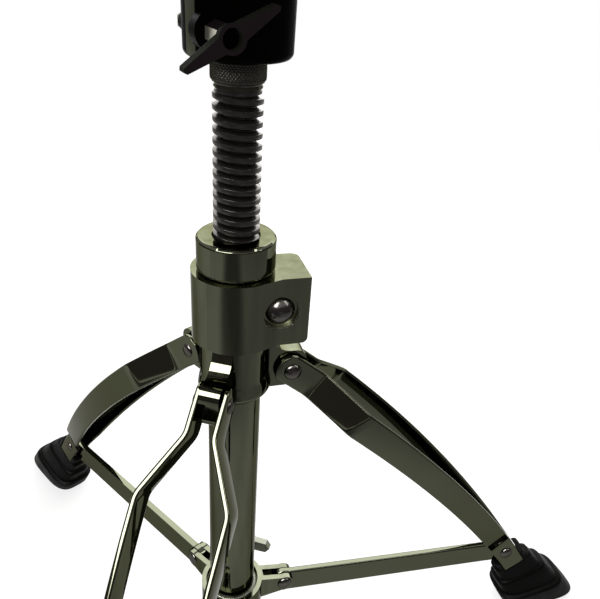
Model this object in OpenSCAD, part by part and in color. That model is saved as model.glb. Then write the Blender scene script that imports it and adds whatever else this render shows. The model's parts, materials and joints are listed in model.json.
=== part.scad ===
// Folding tripod base with a threaded height spindle and a seat clamp.
// The column's axis is Z, the floor is Z = 0, and leg 1 points along +X.

/* [Column] */
// Outside diameter of the base tube
tube_od = 28.6; // [27:0.1:30]
// Wall of the base tube
tube_wall = 1.6; // [1.2:0.1:2]
// Height of the tube's lower end above the floor
tube_bottom = 45; // [38:1:52]
// Length of the end plug's spigot in the tube
plug_spigot = 12; // [8:1:16]
// Thickness of the end plug's flange
plug_flange = 2; // [1.5:0.5:3]

/* [Leg collar] */
// Diameter of the collar that carries the legs
collar_d = 36.6; // [35:0.1:38]
// Diameter of the lip at the collar's lower end
lip_d = 39; // [37:0.1:41]
// Height of the lip at the collar's lower end
lip_h = 12; // [9:0.5:14]
// Height of the collar
collar_h = 34.8; // [34.4:0.1:40]
// Rounding of the collar's lower edge
collar_round = 4.5; // [2:0.1:4.8]
// Thickness of a leg tongue
tongue_t = 10.5; // [9:0.1:12]
// Reach of a tongue past its pivot
tongue_nose = 8.2; // [7.5:0.1:9.5]
// Height of a tongue above its pivot
tongue_rise = 11.5; // [10:0.1:13]
// Depth of a tongue below its pivot
tongue_drop = 10.5; // [9:0.1:12]
// Rounding of a tongue's nose
tongue_round = 6; // [3:0.5:7]
// Fillet between a tongue's top and the collar
tongue_fillet = 8; // [4:0.5:8.5]

/* [Clamp block] */
// Height of the clamp block's underside above the floor
clamp_bottom = 284.3; // [280:0.1:290]
// Height of the clamp block
clamp_h = 37.3; // [35:0.1:42]
// Diameter of the clamp block's round body
clamp_d = 44.2; // [42:0.1:48]
// Depth of the socket that takes the tube
tube_socket = 13; // [10:0.5:15]
// Reach of the lug from the column's axis
lug_reach = 34; // [32:0.1:38]
// Distance of the lug's front face from the column's axis
lug_front = 16.4; // [15.5:0.1:18]
// Distance of the lug's back face from the column's axis
lug_back = 11.3; // [10:0.1:12.5]
// Rounding of the lug's lower corner
lug_corner = 3; // [1.5:0.5:5]
// Rounding of the lug's back corner
lug_round = 4.5; // [2:0.5:6]
// Distance of the lock bolt from the column's axis
bolt_out = 19.6; // [19:0.1:20.5]
// Diameter of the lock bolt's shank
bolt_d = 8; // [6:0.5:9]
// Diameter of the lock bolt's domed head
bolt_head_d = 15; // [13.5:0.5:16]
// Height of the lock bolt's domed head
bolt_head_h = 4.6; // [3.5:0.1:6]
// Diameter of the recess round the lock bolt's head
recess_d = 18.6; // [17:0.1:19]
// Depth of the recess round the lock bolt's head
recess_depth = 2.4; // [1.5:0.1:3]
// Diameter of the wedge bushes on the lock bolt
wedge_d = 12; // [11.5:0.1:12.4]
// Gap between the two wedge bushes
wedge_gap = 3; // [2:0.5:5]
// Outside diameter of the threaded sleeve
sleeve_d = 31.4; // [30.5:0.1:32]
// Width of the sleeve's slit
sleeve_slit = 2; // [1:0.5:3]
// Length of the lock wing nut's barrel
wing_nut_barrel = 14; // [13:0.5:18]
// Diameter of the lock wing nut's barrel
wing_nut_d = 13; // [12:0.5:15]
// Span of the lock wing nut's wings
wing_nut_span = 28; // [24:1:32]
// Thickness of the lock wing nut's wings
wing_nut_t = 5; // [4:0.5:7]

/* [Lock nut] */
// Width of the lock nut across its corners
nut_d = 38.6; // [37:0.1:41]
// Number of flats round the lock nut
nut_sides = 14; // [12:1:16]
// Turn of the lock nut at rest
nut_turn = -3.4; // [-15:0.1:15]
// Height of the lock nut
nut_h = 17.2; // [15:0.1:20]
// Bevel at the ends of the lock nut
nut_bevel = 1.3; // [0.8:0.1:2]

/* [Spindle] */
// Outside diameter of the spindle
spindle_d = 22.2; // [21.4:0.1:22.6]
// Pitch of the spindle's thread
thread_pitch = 4.9; // [4:0.1:5.2]
// Turn of the thread's start
thread_turn = 52; // [0:1:359]
// Depth of the spindle's thread
thread_depth = 3; // [2.4:0.05:3.2]
// Length of thread above the lock nut
thread_above = 65; // [55:1:75]
// Length of thread below the top of the lock nut
thread_below = 103; // [90:1:110]
// Length of the plain end below the thread
tail_len = 56; // [45:1:62]
// Diameter of the plain ring at the neck's foot
neck_d = 19.6; // [18.6:0.1:20.4]
// Diameter of the neck under the knurled collar
neck_top_d = 22.4; // [21.6:0.1:23]
// Height of the neck above the thread
neck_h = 6.6; // [5:0.1:9]
// Height of the plain ring at the neck's foot
neck_ring = 2.2; // [1:0.1:3]
// Diameter of the knurled collar
knurl_d = 24; // [23.8:0.1:27]
// Height of the knurled collar
knurl_h = 7.4; // [7:0.1:10]
// Length of the plain post above the knurled collar
post_len = 36; // [30:1:40]
// Length of the guide bush at the spindle's lower end
bush_len = 12; // [8:1:16]
// Diameter of the screw that holds the guide bush
bush_screw_d = 5; // [4:0.5:6]
// Diameter of the head of that screw
bush_head_d = 10; // [9:0.5:12]
// Height of the head of that screw
bush_head_h = 3.5; // [3:0.5:5]
// Length of that screw in the spindle
bush_screw_grip = 14; // [8:1:20]

/* [Seat clamp] */
// Diameter of the seat clamp at its lower end
seat_d = 45.4; // [44:0.1:47]
// Growth of that diameter up to the top
seat_draft = 1; // [0:0.1:3]
// Height of the seat clamp
seat_h = 49; // [46:0.5:54]
// Rounding of the seat clamp's lower edge
seat_round = 3; // [1.5:0.1:4]
// Direction of the wing bolt
jaw_angle = -78.8; // [-180:0.1:180]
// Distance of the wing bolt from the column's axis
jaw_out = 17.2; // [16.6:0.1:17.8]
// Height of the wing bolt above the seat clamp's underside
jaw_rise = 11.7; // [10.5:0.1:13]
// Inner edge of the jaw's opening, from the column's axis
notch_in = 17.4; // [17:0.1:18]
// Flare of the jaw's opening, from the bare face
notch_flare = 56; // [50:1:62]
// Height of the jaw's opening
notch_h = 34; // [30:0.5:40]
// Distance of the bare jaw face before the bolt's middle plane
jaw_face = 1.6; // [1:0.1:2.4]
// Width of the jaw slit
jaw_slit = 1; // [0.6:0.1:1.4]
// Diameter of the front boss
boss_d = 15; // [14:0.1:16]
// Reach of the front boss before the bolt's middle plane
boss_front = 18; // [17:0.1:19]
// Length of the front boss
boss_len = 7; // [5:0.5:8]
// Diameter of the back boss
back_boss_d = 8.4; // [8:0.1:10]
// Reach of the back boss behind the bolt's middle plane
back_boss = 12.4; // [12:0.1:14]
// Diameter of the wing bolt
wing_bolt_d = 6; // [5:0.5:7]
// Diameter of the bare six-sided neck behind the wing
wing_neck_d = 9; // [8:0.1:10]
// Gap between the front boss and that neck
neck_gap = 1.2; // [1.1:0.1:2]
// Distance of the wing before the front boss
wing_bolt_show = 14; // [12:0.1:16]
// Diameter of the wing's hub
wing_hub_d = 10.8; // [9:0.1:12]
// Length of the wing's hub
wing_hub_len = 5.2; // [4.8:0.1:7]
// Span of the wing
wing_span = 40; // [36:1:46]
// Thickness of the wing's arms
wing_t = 5.2; // [4:0.1:7]
// Height of the wing's arms at their roots
wing_root = 6.6; // [5:0.1:9]
// Height of the wing's arms at their tips
wing_tip = 2.4; // [2:0.1:4]
// Turn of the wing at rest
wing_turn = 31; // [-90:1:90]
// Depth of the dimple in the wing's hub
dimple = 4; // [1:0.1:6]
// Width of the rim round the dimple
dimple_rim = 1.6; // [1:0.1:2.5]
// Width of the jaw nut across its corners
jaw_nut_d = 8.4; // [8:0.1:10]
// Thickness of the jaw nut
jaw_nut_t = 2.6; // [2:0.1:4]

/* [Seat plate] */
// Diameter of the seat plate
plate_d = 110; // [100:1:125]
// Thickness of the seat plate
plate_t = 3; // [2.5:0.5:5]
// Number of bolt holes for a seat
plate_holes = 4; // [3:1:6]
// Bolt circle for a seat
plate_circle = 86; // [78:1:92]
// Diameter of a bolt hole for a seat
plate_hole_d = 6.6; // [5:0.1:8]
// Circle of the screws that hold the seat plate
screw_circle = 32; // [30:0.5:34]
// Diameter of the screws that hold the seat plate
screw_d = 4; // [3:0.5:4.5]
// Length of the screws that hold the seat plate
screw_len = 12; // [8:1:15]
// Diameter of the sunk heads of those screws
screw_head_d = 7.6; // [7:0.1:9]
// Height of the heads of those screws
screw_head_h = 2.2; // [1.6:0.1:2.4]

/* [Legs] */
// Distance of a leg's upper pivot from the column's axis
leg_pin_r = 30; // [29:0.1:32]
// Depth of a leg's upper pivot below the clamp block
leg_pin_drop = 23.8; // [22:0.1:26]
// Distance of a foot rivet from the column's axis
foot_pin_r = 212.5; // [200:0.5:225]
// Height of a foot rivet above the floor
foot_pin_z = 61.8; // [58:0.1:66]
// Rise of the arched straps over the line between their pins
leg_arch = 9.3; // [6:0.1:12]
// Height of a strap
strap_h = 17.4; // [16:0.1:18.5]
// Thickness of a strap
strap_t = 3; // [2.5:0.1:3.5]
// Half width of a leg, outside, where it is widest
splay_half = 24.2; // [20:0.1:28]
// Straight length of strap past the upper pivot
splay_start = 17.6; // [17:0.1:22]
// Run in which the straps spread to the widest place
splay_run = 31; // [26:0.1:38]
// Half width of a leg at the foot, outside
foot_half = 6.5; // [6:0.1:7.5]
// Straight length of strap before the foot rivet
pinch_run = 14; // [10:0.5:16]
// Outward bow of a strap on its way to the foot
strap_bow = 3.6; // [0:0.1:5]
// Sideways step of a strap before the foot rivet
joggle = 3.4; // [2:0.1:4.5]
// Run of that step
joggle_run = 17; // [12:0.5:20]
// Length of strap past the foot rivet
strap_tail = 22; // [18:0.5:25]

/* [Rivets] */
// Diameter of the rivets
rivet_d = 6; // [5:0.1:7]
// Diameter of a rivet's head
rivet_head_d = 9.8; // [8.5:0.1:11]
// Height of a rivet's head
rivet_head_h = 2.4; // [1.5:0.1:3]
// Diameter of a rivet's clinched end
rivet_tail_d = 8; // [7.4:0.1:9]
// Height of a rivet's clinched end
rivet_tail_h = 1.6; // [1:0.1:2.2]

/* [Boots] */
// Distance of a boot's rim past the foot rivet
boot_rim = 9.5; // [8:0.1:10.5]
// Height of a boot's rim across the straps
boot_rim_h = 20.6; // [20:0.1:23]
// Width of a boot's rim
boot_rim_w = 18; // [17:0.1:22]
// Length of a boot's sole
sole_l = 66; // [60:0.5:72]
// Width of a boot's sole
sole_w = 33; // [32:0.5:38]
// Distance of the sole's middle past the foot rivet
sole_out = 45.4; // [42:0.1:50]
// Power of a boot's growth in length from rim to sole
boot_flare = 1.2; // [0.8:0.05:1.6]
// Power of a boot's growth in width from rim to sole
boot_spread = 0.75; // [0.5:0.05:1.2]
// Power of a boot's outline at the rim, from square at 0 to round at 1
boot_square = 0.45; // [0.4:0.05:0.8]
// Power of a boot's outline at the sole
sole_square = 0.6; // [0.4:0.05:0.8]
// Depth of the notch for the strut in a boot's rim
heel_notch = 13.6; // [13:0.1:14.6]
// Number of ribs on a boot
boot_ribs = 4; // [3:1:6]
// Depth of the ribs
rib_depth = 2.4; // [0.5:0.1:3]
// Depth of a boot's side windows past the foot rivet
window = 22.4; // [18:0.1:22.8]

/* [Struts] */
// Distance of a strut's inner rivet from the column's axis
hub_pin_r = 35.3; // [34:0.1:38]
// Height of a strut's inner rivet above the floor
hub_pin_z = 79.8; // [76:0.1:84]
// Thickness of a strut
strut_t = 4.2; // [3.5:0.1:4.8]
// Height of a strut
strut_h = 18.4; // [17:0.1:19]
// Drop of a strut's bar below the line of its rivets
strut_drop = 3.6; // [3:0.1:3.9]
// Diameter of a strut's eyes
eye_d = 13.2; // [12.6:0.1:14]

/* [Lower hub] */
// Wall of the ring round its liner
ring_wall = 3.8; // [3.2:0.1:4.6]
// Height of the ring above the strut rivets
ring_up = 9.2; // [8.6:0.1:11]
// Depth of the ring below the strut rivets
ring_down = 11; // [10:0.1:14]
// Step between the liner's outside and the recess in the ring's top
recess_step = 0.8; // [0.6:0.1:1.6]
// Depth of the recess in the ring's top
ring_recess = 6; // [3:0.5:7]
// Wall of the liner between the tube and the ring
liner_wall = 1.9; // [1.5:0.1:2.3]
// Thickness of a clevis ear
ear_t = 3.4; // [3:0.1:4.6]
// Diameter of a clevis ear's round end
ear_d = 13; // [12:0.1:14]
// Drop of a clevis ear's round end below its rivet
ear_drop = 0.8; // [0.2:0.1:1.4]
// Height of a clevis ear's flat sides short of its round end
ear_step = 0.6; // [0.4:0.1:1]
// Height of the wing screw above the strut rivets
screw_rise = 1.6; // [0:0.1:2]
// Diameter of the wing screw's boss
screw_boss_d = 13; // [12:0.1:14]
// Reach of the wing screw's boss from the column's axis
screw_boss = 26; // [24:0.5:28]
// Diameter of the wing screw
hub_screw_d = 6; // [5:0.5:7]
// Distance of the wing screw's wing from the column's axis
hub_wing_out = 33; // [31:0.5:36]
// Span of the wing screw's wing
hub_wing_span = 26; // [22:1:30]
// Diameter of the wing screw's hub
hub_wing_d = 10; // [9:0.5:12]
// Length of the wing screw's hub
hub_wing_len = 7; // [6:0.5:8]
// Thickness of the wing screw's arms
hub_wing_t = 4.5; // [4:0.1:5.5]
// Height of the wing screw's arms at their roots
hub_wing_root = 9; // [7:0.1:9.5]
// Height of the wing screw's arms at their tips
hub_wing_tip = 8.4; // [6:0.1:9]

/* [Fits] */
// Radial play of a pin that turns or a sleeve that slides
run = 0.06; // [0.03:0.01:0.1]
// Radial play of a pressed fit
press = 0.02; // [0.01:0.01:0.05]
// Room between faces that move past each other
room = 0.3; // [0.25:0.01:0.5]

/* [Hidden] */
$fn = 64;
LEGS = [1, 2, 3];
SIDES = ["left", "right"];

CHROME = [0.42, 0.43, 0.38];
BLACK = [0.06, 0.06, 0.06];
RUBBER = [0.09, 0.09, 0.08];
ZINC = [0.62, 0.62, 0.55];
NYLON = [0.82, 0.81, 0.76];

leg_step = 120;
screw_angle = leg_step / 2;
screw_count = 3;
through = 1;

// Heights up the column
tube_top = clamp_bottom + tube_socket;
clamp_top = clamp_bottom + clamp_h;
clamp_mid = clamp_bottom + clamp_h / 2;
nut_bottom = clamp_top + room;
nut_top = nut_bottom + nut_h;
thread_top = nut_top + thread_above;
thread_bottom = nut_top - thread_below;
neck_top = thread_top + neck_h;
knurl_top = neck_top + knurl_h;
post_top = knurl_top + post_len;
tail_bottom = thread_bottom - tail_len;
seat_bottom = knurl_top + room;
seat_top = seat_bottom + seat_h;
jaw_z = seat_bottom + jaw_rise;
leg_pin_z = clamp_bottom - leg_pin_drop;

tube_id = tube_od - 2 * tube_wall;
core_r = spindle_d / 2 - thread_depth;
bore_r = spindle_d / 2 + room;
post_bore = post_len + 2 * through;
liner_d = tube_od + 2 * liner_wall;
ring_d = liner_d + 2 * ring_wall;
ring_recess_d = liner_d + 2 * recess_step;

// Lines of the leg: from the upper pivot to the foot rivet, and the arc over that line
leg_run = [foot_pin_r - leg_pin_r, foot_pin_z - leg_pin_z];
leg_len = norm(leg_run);
leg_slope = atan2(leg_run[1], leg_run[0]);
arc_r = (leg_len * leg_len / 4 + leg_arch * leg_arch) / (2 * leg_arch);
arc_half = asin(leg_len / 2 / arc_r);
foot_slope = arc_half - leg_slope;
pocket = strap_tail * cos(arc_half) + strap_h / 2 * sin(arc_half) + room;
strap_end_r = strap_h / 2 + through;
strap_in = tongue_t / 2 + room;
strap_steps = 10;

strut_run = [foot_pin_r - hub_pin_r, foot_pin_z - hub_pin_z];
strut_len = norm(strut_run);
strut_slope = atan2(strut_run[1], strut_run[0]);
ear_in = strut_t / 2 + room;
ear_out = ear_in + ear_t;

function arc(centre, r, from, to, steps) =
    [for (k = [0 : steps]) let (a = from + (to - from) * k / steps) centre + r * [cos(a), sin(a)]];
function mix(a, b, t) = a * (1 - t) + b * t;

// Helpers: a leg's own plane, a pin across it, the foot's slanted frame
module at_leg(i) rotate([0, 0, leg_step * (i - 1)]) children();
module upright(t) rotate([90, 0, 0]) linear_extrude(t, center = true) children();
module across(p) translate([p[0], 0, p[1]]) rotate([-90, 0, 0]) children();
module at_foot() translate([foot_pin_r, 0, foot_pin_z]) rotate([0, foot_slope, 0]) children();
module cross_hole(p, r) across(p) cylinder(r = r, h = 2 * leg_len, center = true);
module dome(d, h) {
    ball = (d * d / 4 + h * h) / (2 * h);
    intersection() {
        translate([0, 0, h - ball]) sphere(ball);
        cylinder(d = d + 2 * through, h = h + through);
    }
}
module box(from, to) translate(from) cube(to - from);
module wing(span, root, tip, hub, t) linear_extrude(t) polygon([
    [span / 2, -tip / 2], [span / 2 + tip / 3, 0], [span / 2, tip / 2], [hub / 2, root / 2],
    [-hub / 2, root / 2], [-span / 2, tip / 2], [-span / 2 - tip / 3, 0], [-span / 2, -tip / 2],
    [-hub / 2, -root / 2], [hub / 2, -root / 2]]);

// Column
module column_tube() color(CHROME) difference() {
    translate([0, 0, tube_bottom]) cylinder(d = tube_od, h = tube_top - tube_bottom);
    translate([0, 0, tube_bottom - through]) cylinder(d = tube_id, h = tube_top - tube_bottom + 2 * through);
}

module tube_plug() color(BLACK) translate([0, 0, tube_bottom - plug_flange]) {
    cylinder(d = tube_od, h = plug_flange);
    cylinder(d = tube_id - 2 * press, h = plug_flange + plug_spigot);
}

module tongue() upright(tongue_t) polygon(concat(
    [[tube_od / 2 + through, leg_pin_z - tongue_drop]],
    arc([leg_pin_r + tongue_nose - tongue_round, leg_pin_z - tongue_drop + tongue_round],
        tongue_round, -90, 0, 10),
    arc([leg_pin_r + tongue_nose - tongue_round, leg_pin_z + tongue_rise - tongue_round],
        tongue_round, 0, 90, 10),
    arc([collar_d / 2 + tongue_fillet, leg_pin_z + tongue_rise + tongue_fillet], tongue_fillet, 270, 180, 8),
    [[tube_od / 2 + through, leg_pin_z + tongue_rise + tongue_fillet]]));

module leg_collar() color(CHROME) difference() {
    union() {
        translate([0, 0, clamp_bottom - collar_h]) rotate_extrude() polygon(concat(
            [[tube_od / 4, 0]],
            arc([lip_d / 2 - collar_round, collar_round], collar_round, -90, 0, 8),
            [[collar_d / 2, lip_h], [collar_d / 2, collar_h], [tube_od / 4, collar_h]]));
        for (i = LEGS) at_leg(i) tongue();
    }
    translate([0, 0, clamp_bottom - collar_h - through])
        cylinder(r = tube_od / 2 + press, h = collar_h + 2 * through);
    for (i = LEGS) at_leg(i) across([leg_pin_r, leg_pin_z])
        cylinder(r = rivet_d / 2 + run, h = 2 * tongue_t, center = true);
}

// Clamp block, its sleeve and its lock bolt
blend_from = clamp_d / 5;
blend_sink = 0.05;
module lug_outline() polygon(concat(
    [[0, -lug_front], [blend_from, -sqrt(pow(clamp_d / 2, 2) - pow(blend_from, 2)) + blend_sink],
     [bolt_out, -lug_front], [lug_reach, -lug_front]],
    arc([lug_reach - lug_round, lug_back - lug_round], lug_round, 0, 90, 10),
    [[0, lug_back]]));

module lug() intersection() {
    linear_extrude(clamp_h) lug_outline();
    upright(2 * clamp_d) polygon(concat(
        [[-clamp_d, 0]],
        arc([lug_reach - lug_corner, lug_corner], lug_corner, -90, 0, 8),
        [[lug_reach, clamp_h], [-clamp_d, clamp_h]]));
}

module at_bolt(y) translate([bolt_out, y, clamp_mid]) rotate([-90, 0, 0]) children();

module clamp_block() color(CHROME) difference() {
    translate([0, 0, clamp_bottom]) {
        cylinder(d = clamp_d, h = clamp_h);
        lug();
    }
    translate([0, 0, clamp_bottom - through]) cylinder(r = tube_od / 2 + press, h = tube_socket + through);
    translate([0, 0, tube_top - press]) cylinder(r = sleeve_d / 2 + press, h = clamp_h);
    at_bolt(-lug_front - through) cylinder(r = wedge_d / 2 + run, h = lug_front + lug_back + 2 * through);
    at_bolt(-clamp_d) cylinder(d = recess_d, h = clamp_d - lug_front + recess_depth);
    at_bolt(lug_back) cylinder(d = wing_nut_d + 4 * room, h = clamp_d);
}

module thread_sleeve() color(NYLON) translate([0, 0, tube_top + press]) difference() {
    cylinder(d = sleeve_d, h = clamp_h - tube_socket - 2 * press);
    translate([0, 0, -through]) cylinder(r = bore_r, h = clamp_h);
    translate([-sleeve_d, -sleeve_slit / 2, -through]) cube([sleeve_d, sleeve_slit, clamp_h]);
}

module wedge(from, to) color(ZINC) difference() {
    at_bolt(from) cylinder(d = wedge_d, h = to - from);
    at_bolt(from - through) cylinder(r = bolt_d / 2 + press, h = to - from + 2 * through);
    translate([0, 0, clamp_bottom]) cylinder(r = sleeve_d / 2 + press, h = clamp_h);
}
module wedge_front() wedge(-lug_front + recess_depth, -wedge_gap / 2);
module wedge_back() wedge(wedge_gap / 2, lug_back);

module lock_bolt() color(CHROME) {
    at_bolt(-lug_front + recess_depth) cylinder(
        d = bolt_d, h = lug_front - recess_depth + lug_back + wing_nut_barrel + wing_nut_t / 2);
    at_bolt(-lug_front + recess_depth) rotate([180, 0, 0]) dome(bolt_head_d, bolt_head_h);
}

wing_nut_root = wing_nut_d * 3 / 5;
module lock_wing_nut() color(CHROME) difference() {
    union() {
        at_bolt(lug_back + room) cylinder(d = wing_nut_d, h = wing_nut_barrel + wing_nut_t);
        at_bolt(lug_back + room + wing_nut_barrel)
            wing(wing_nut_span, wing_nut_root, wing_nut_t, wing_nut_d / 2, wing_nut_t);
    }
    at_bolt(lug_back - through) cylinder(r = bolt_d / 2 + run, h = wing_nut_barrel + 2 * wing_nut_t);
}

module lock_nut() color(CHROME) translate([0, 0, nut_bottom]) difference() {
    intersection() {
        rotate([0, 0, nut_turn]) cylinder(d = nut_d, h = nut_h, $fn = nut_sides);
        rotate_extrude() polygon([
            [0, 0], [nut_d / 2 - nut_bevel, 0], [nut_d / 2, nut_bevel], [nut_d / 2, nut_h - nut_bevel],
            [nut_d / 2 - nut_bevel, nut_h], [0, nut_h]]);
    }
    translate([0, 0, -through]) cylinder(r = bore_r, h = nut_h + 2 * through);
}

// Spindle
module spindle() color(CHROME) difference() {
    union() {
        translate([0, 0, tail_bottom]) cylinder(r = core_r, h = neck_top - tail_bottom);
        translate([0, 0, thread_top]) cylinder(d = neck_d, h = neck_ring);
        translate([0, 0, thread_top + neck_ring])
            cylinder(d1 = neck_d, d2 = neck_top_d, h = neck_h - neck_ring);
        translate([0, 0, neck_top]) cylinder(d = spindle_d, h = post_top - neck_top);
    }
    translate([0, 0, tail_bottom - through])
        cylinder(r = bush_screw_d / 2 + press, h = bush_screw_grip + 2 * through);
}

// The thread's ridge is one helical body round the core, faded out at both ends
ridge_sides = 16;
ridge_turns = (thread_above + thread_below) / thread_pitch - 1;
ridge_steps = floor(ridge_turns * ridge_sides);
ridge_foot = (core_r + press) / cos(180 / ridge_sides);
ridge_fade = ridge_sides / 2;
ridge_base = 0.36;
ridge_crest = 0.16;
function ridge_share(k) = max(0.15, min(1, k / ridge_fade, (ridge_steps - k) / ridge_fade));
function ridge_ring(k) = let (
    a = 360 * k / ridge_sides + thread_turn,
    z = thread_bottom + thread_pitch * (k / ridge_sides + 0.5),
    top = ridge_foot + (spindle_d / 2 - ridge_foot) * ridge_share(k),
    way = [cos(a), sin(a)])
    [for (c = [[ridge_foot, -ridge_base], [top, -ridge_crest], [top, ridge_crest], [ridge_foot, ridge_base]])
        [c[0] * way[0], c[0] * way[1], z + c[1] * thread_pitch]];

module spindle_thread() color(CHROME) polyhedron(
    points = [for (k = [0 : ridge_steps], p = ridge_ring(k)) p],
    faces = concat(
        [[0, 1, 2], [0, 2, 3]],
        [let (e = 4 * ridge_steps) each [[e, e + 2, e + 1], [e, e + 3, e + 2]]],
        [for (k = [0 : ridge_steps - 1], j = [0 : 3])
            let (a = 4 * k + j, b = 4 * k + (j + 1) % 4)
            each [[a, a + 4, b + 4], [a, b + 4, b]]]));

module knurled_collar() color(CHROME) translate([0, 0, neck_top]) difference() {
    rotate_extrude() polygon(concat(
        [[spindle_d / 4, 0]],
        arc([knurl_d / 2 - knurl_h / 4, knurl_h / 4], knurl_h / 4, -90, 0, 6),
        [[knurl_d / 2, knurl_h], [spindle_d / 4, knurl_h]]));
    translate([0, 0, -through]) cylinder(r = spindle_d / 2 + press, h = knurl_h + 2 * through);
}

module guide_bush() color(NYLON) translate([0, 0, tail_bottom - bush_len - press]) difference() {
    cylinder(r = tube_id / 2 - run, h = bush_len);
    translate([0, 0, -through]) cylinder(r = bush_screw_d / 2 + press, h = bush_len + 2 * through);
}

module guide_screw() color(ZINC) translate([0, 0, tail_bottom - bush_len - 2 * press]) {
    cylinder(d = bush_screw_d, h = bush_len + bush_screw_grip);
    mirror([0, 0, 1]) cylinder(d = bush_head_d, h = bush_head_h);
}

// Seat clamp: local x runs along the wing bolt, and the jaw lies on the side of -y
module at_jaw() rotate([0, 0, jaw_angle]) children();
module along_jaw(s) translate([s, -jaw_out, jaw_z]) rotate([0, 90, 0]) children();

module jaw_opening() translate([0, 0, seat_bottom - through]) linear_extrude(notch_h + through) polygon([
    [jaw_face, -notch_in], [jaw_face + jaw_slit, -notch_in],
    [jaw_face + jaw_slit + seat_d * tan(notch_flare), -notch_in - seat_d],
    [jaw_face, -notch_in - seat_d]]);

module seat_clamp() color(BLACK) at_jaw() difference() {
    union() {
        difference() {
            translate([0, 0, seat_bottom]) rotate_extrude() polygon(concat(
                [[0, 0]],
                arc([seat_d / 2 - seat_round, seat_round], seat_round, -90, 0, 8),
                [[(seat_d + seat_draft) / 2, seat_h], [0, seat_h]]));
            jaw_opening();
        }
        along_jaw(-back_boss) cylinder(d = back_boss_d, h = back_boss + jaw_face);
        along_jaw(boss_front - boss_len) cylinder(d = boss_d, h = boss_len);
    }
    translate([0, 0, seat_bottom - through]) cylinder(r = spindle_d / 2 + run, h = post_bore + through);
    box([jaw_face, -seat_d, seat_bottom - through],
        [jaw_face + jaw_slit, -spindle_d / 4, seat_bottom + notch_h]);
    along_jaw(-seat_d) cylinder(r = wing_bolt_d / 2 + run, h = 2 * seat_d);
    along_jaw(-seat_d) cylinder(d = jaw_nut_d + 4 * room, h = seat_d - back_boss);
    for (k = [1 : screw_count]) rotate([0, 0, 360 * k / screw_count])
        translate([screw_circle / 2, 0, seat_top - screw_len])
            cylinder(r = screw_d / 2 + press, h = screw_len + through);
}

wing_at = boss_front + wing_bolt_show;

module wing_bolt() color(BLACK) at_jaw() {
    along_jaw(-back_boss - jaw_nut_t)
        cylinder(d = wing_bolt_d, h = wing_at + back_boss + jaw_nut_t + through);
    along_jaw(boss_front + neck_gap) cylinder(d = wing_neck_d, h = wing_bolt_show - neck_gap + through, $fn = 6);
    along_jaw(wing_at) difference() {
        union() {
            cylinder(d1 = wing_neck_d, d2 = wing_hub_d, h = wing_hub_len);
            translate([0, 0, wing_hub_len - wing_t])
                rotate([0, 0, 90 + wing_turn]) wing(wing_span, wing_root, wing_tip, wing_hub_d / 2, wing_t);
        }
        translate([0, 0, wing_hub_len - dimple])
            cylinder(d = wing_hub_d - 2 * dimple_rim, h = dimple + through);
    }
}

module jaw_nut() color(ZINC) at_jaw() difference() {
    along_jaw(-back_boss - jaw_nut_t) cylinder(d = jaw_nut_d, h = jaw_nut_t - press, $fn = 6);
    along_jaw(-back_boss - jaw_nut_t - through)
        cylinder(r = wing_bolt_d / 2 + run, h = jaw_nut_t + 2 * through);
}

module seat_plate() color(BLACK) translate([0, 0, seat_top]) difference() {
    cylinder(d = plate_d, h = plate_t);
    for (k = [1 : plate_holes]) rotate([0, 0, 360 * (k + 0.5) / plate_holes])
        translate([plate_circle / 2, 0, -through]) cylinder(d = plate_hole_d, h = plate_t + 2 * through);
    at_plate_screws() plate_screw(press, plate_t + through);
}

module at_plate_screws() at_jaw() for (k = [1 : screw_count]) rotate([0, 0, 360 * k / screw_count])
    translate([screw_circle / 2, 0, plate_t]) children();
module plate_screw(grow, depth) {
    mirror([0, 0, 1]) cylinder(d1 = screw_head_d + 2 * grow, d2 = screw_d + 2 * grow, h = screw_head_h);
    translate([0, 0, -depth]) cylinder(d = screw_d + 2 * grow, h = depth);
}
module plate_screws() color(ZINC) translate([0, 0, seat_top]) at_plate_screws()
    plate_screw(0, plate_t + screw_len - through);

// Legs: a strap is an arched band in the leg's plane, bent square to the line between its pins
module strap_band() intersection() {
    translate([leg_len / 2, leg_arch - arc_r]) difference() {
        circle(arc_r + strap_h / 2, $fn = 720);
        circle(arc_r - strap_h / 2, $fn = 720);
    }
    union() {
        circle(strap_end_r);
        translate([0, -leg_len / 4]) square([leg_len + strap_tail, leg_len / 2]);
    }
}

pinch = leg_len - pinch_run;
spread = splay_start + splay_run;
strap_path = concat(
    [[-strap_h, strap_in + strap_t / 2], [splay_start, strap_in + strap_t / 2]],
    [for (k = [0 : strap_steps]) let (t = k / strap_steps)
        [mix(spread, pinch - joggle_run, t),
         mix(splay_half, foot_half + joggle, t) - strap_t / 2 + 4 * strap_bow * t * (1 - t)]],
    [[pinch, foot_half - strap_t / 2], [leg_len + strap_tail, foot_half - strap_t / 2]]);
function side_way(p, q) = let (v = (q - p) / norm(q - p)) [-v[1], v[0]];
function mitred(path, k, d) = let (
    last = len(path) - 1,
    a = side_way(path[max(k - 1, 0)], path[max(k, 1)]),
    b = side_way(path[min(k, last - 1)], path[min(k + 1, last)]))
    path[k] + (a + b) * d / (1 + a * b);
module strap_plan() polygon(concat(
    [for (k = [0 : len(strap_path) - 1]) mitred(strap_path, k, strap_t / 2)],
    [for (k = [len(strap_path) - 1 : -1 : 0]) mitred(strap_path, k, -strap_t / 2)]));

module hand(side) if (side == "left") children(); else mirror([0, 1, 0]) children();

module leg_strap(i, side) color(CHROME) at_leg(i) hand(side)
    translate([leg_pin_r, 0, leg_pin_z]) rotate([0, -leg_slope, 0]) difference() {
        intersection() {
            upright(3 * splay_half) strap_band();
            linear_extrude(leg_len, center = true) strap_plan();
        }
        for (pin = [0, leg_len]) cross_hole([pin, 0], rivet_d / 2 + press);
    }

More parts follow.
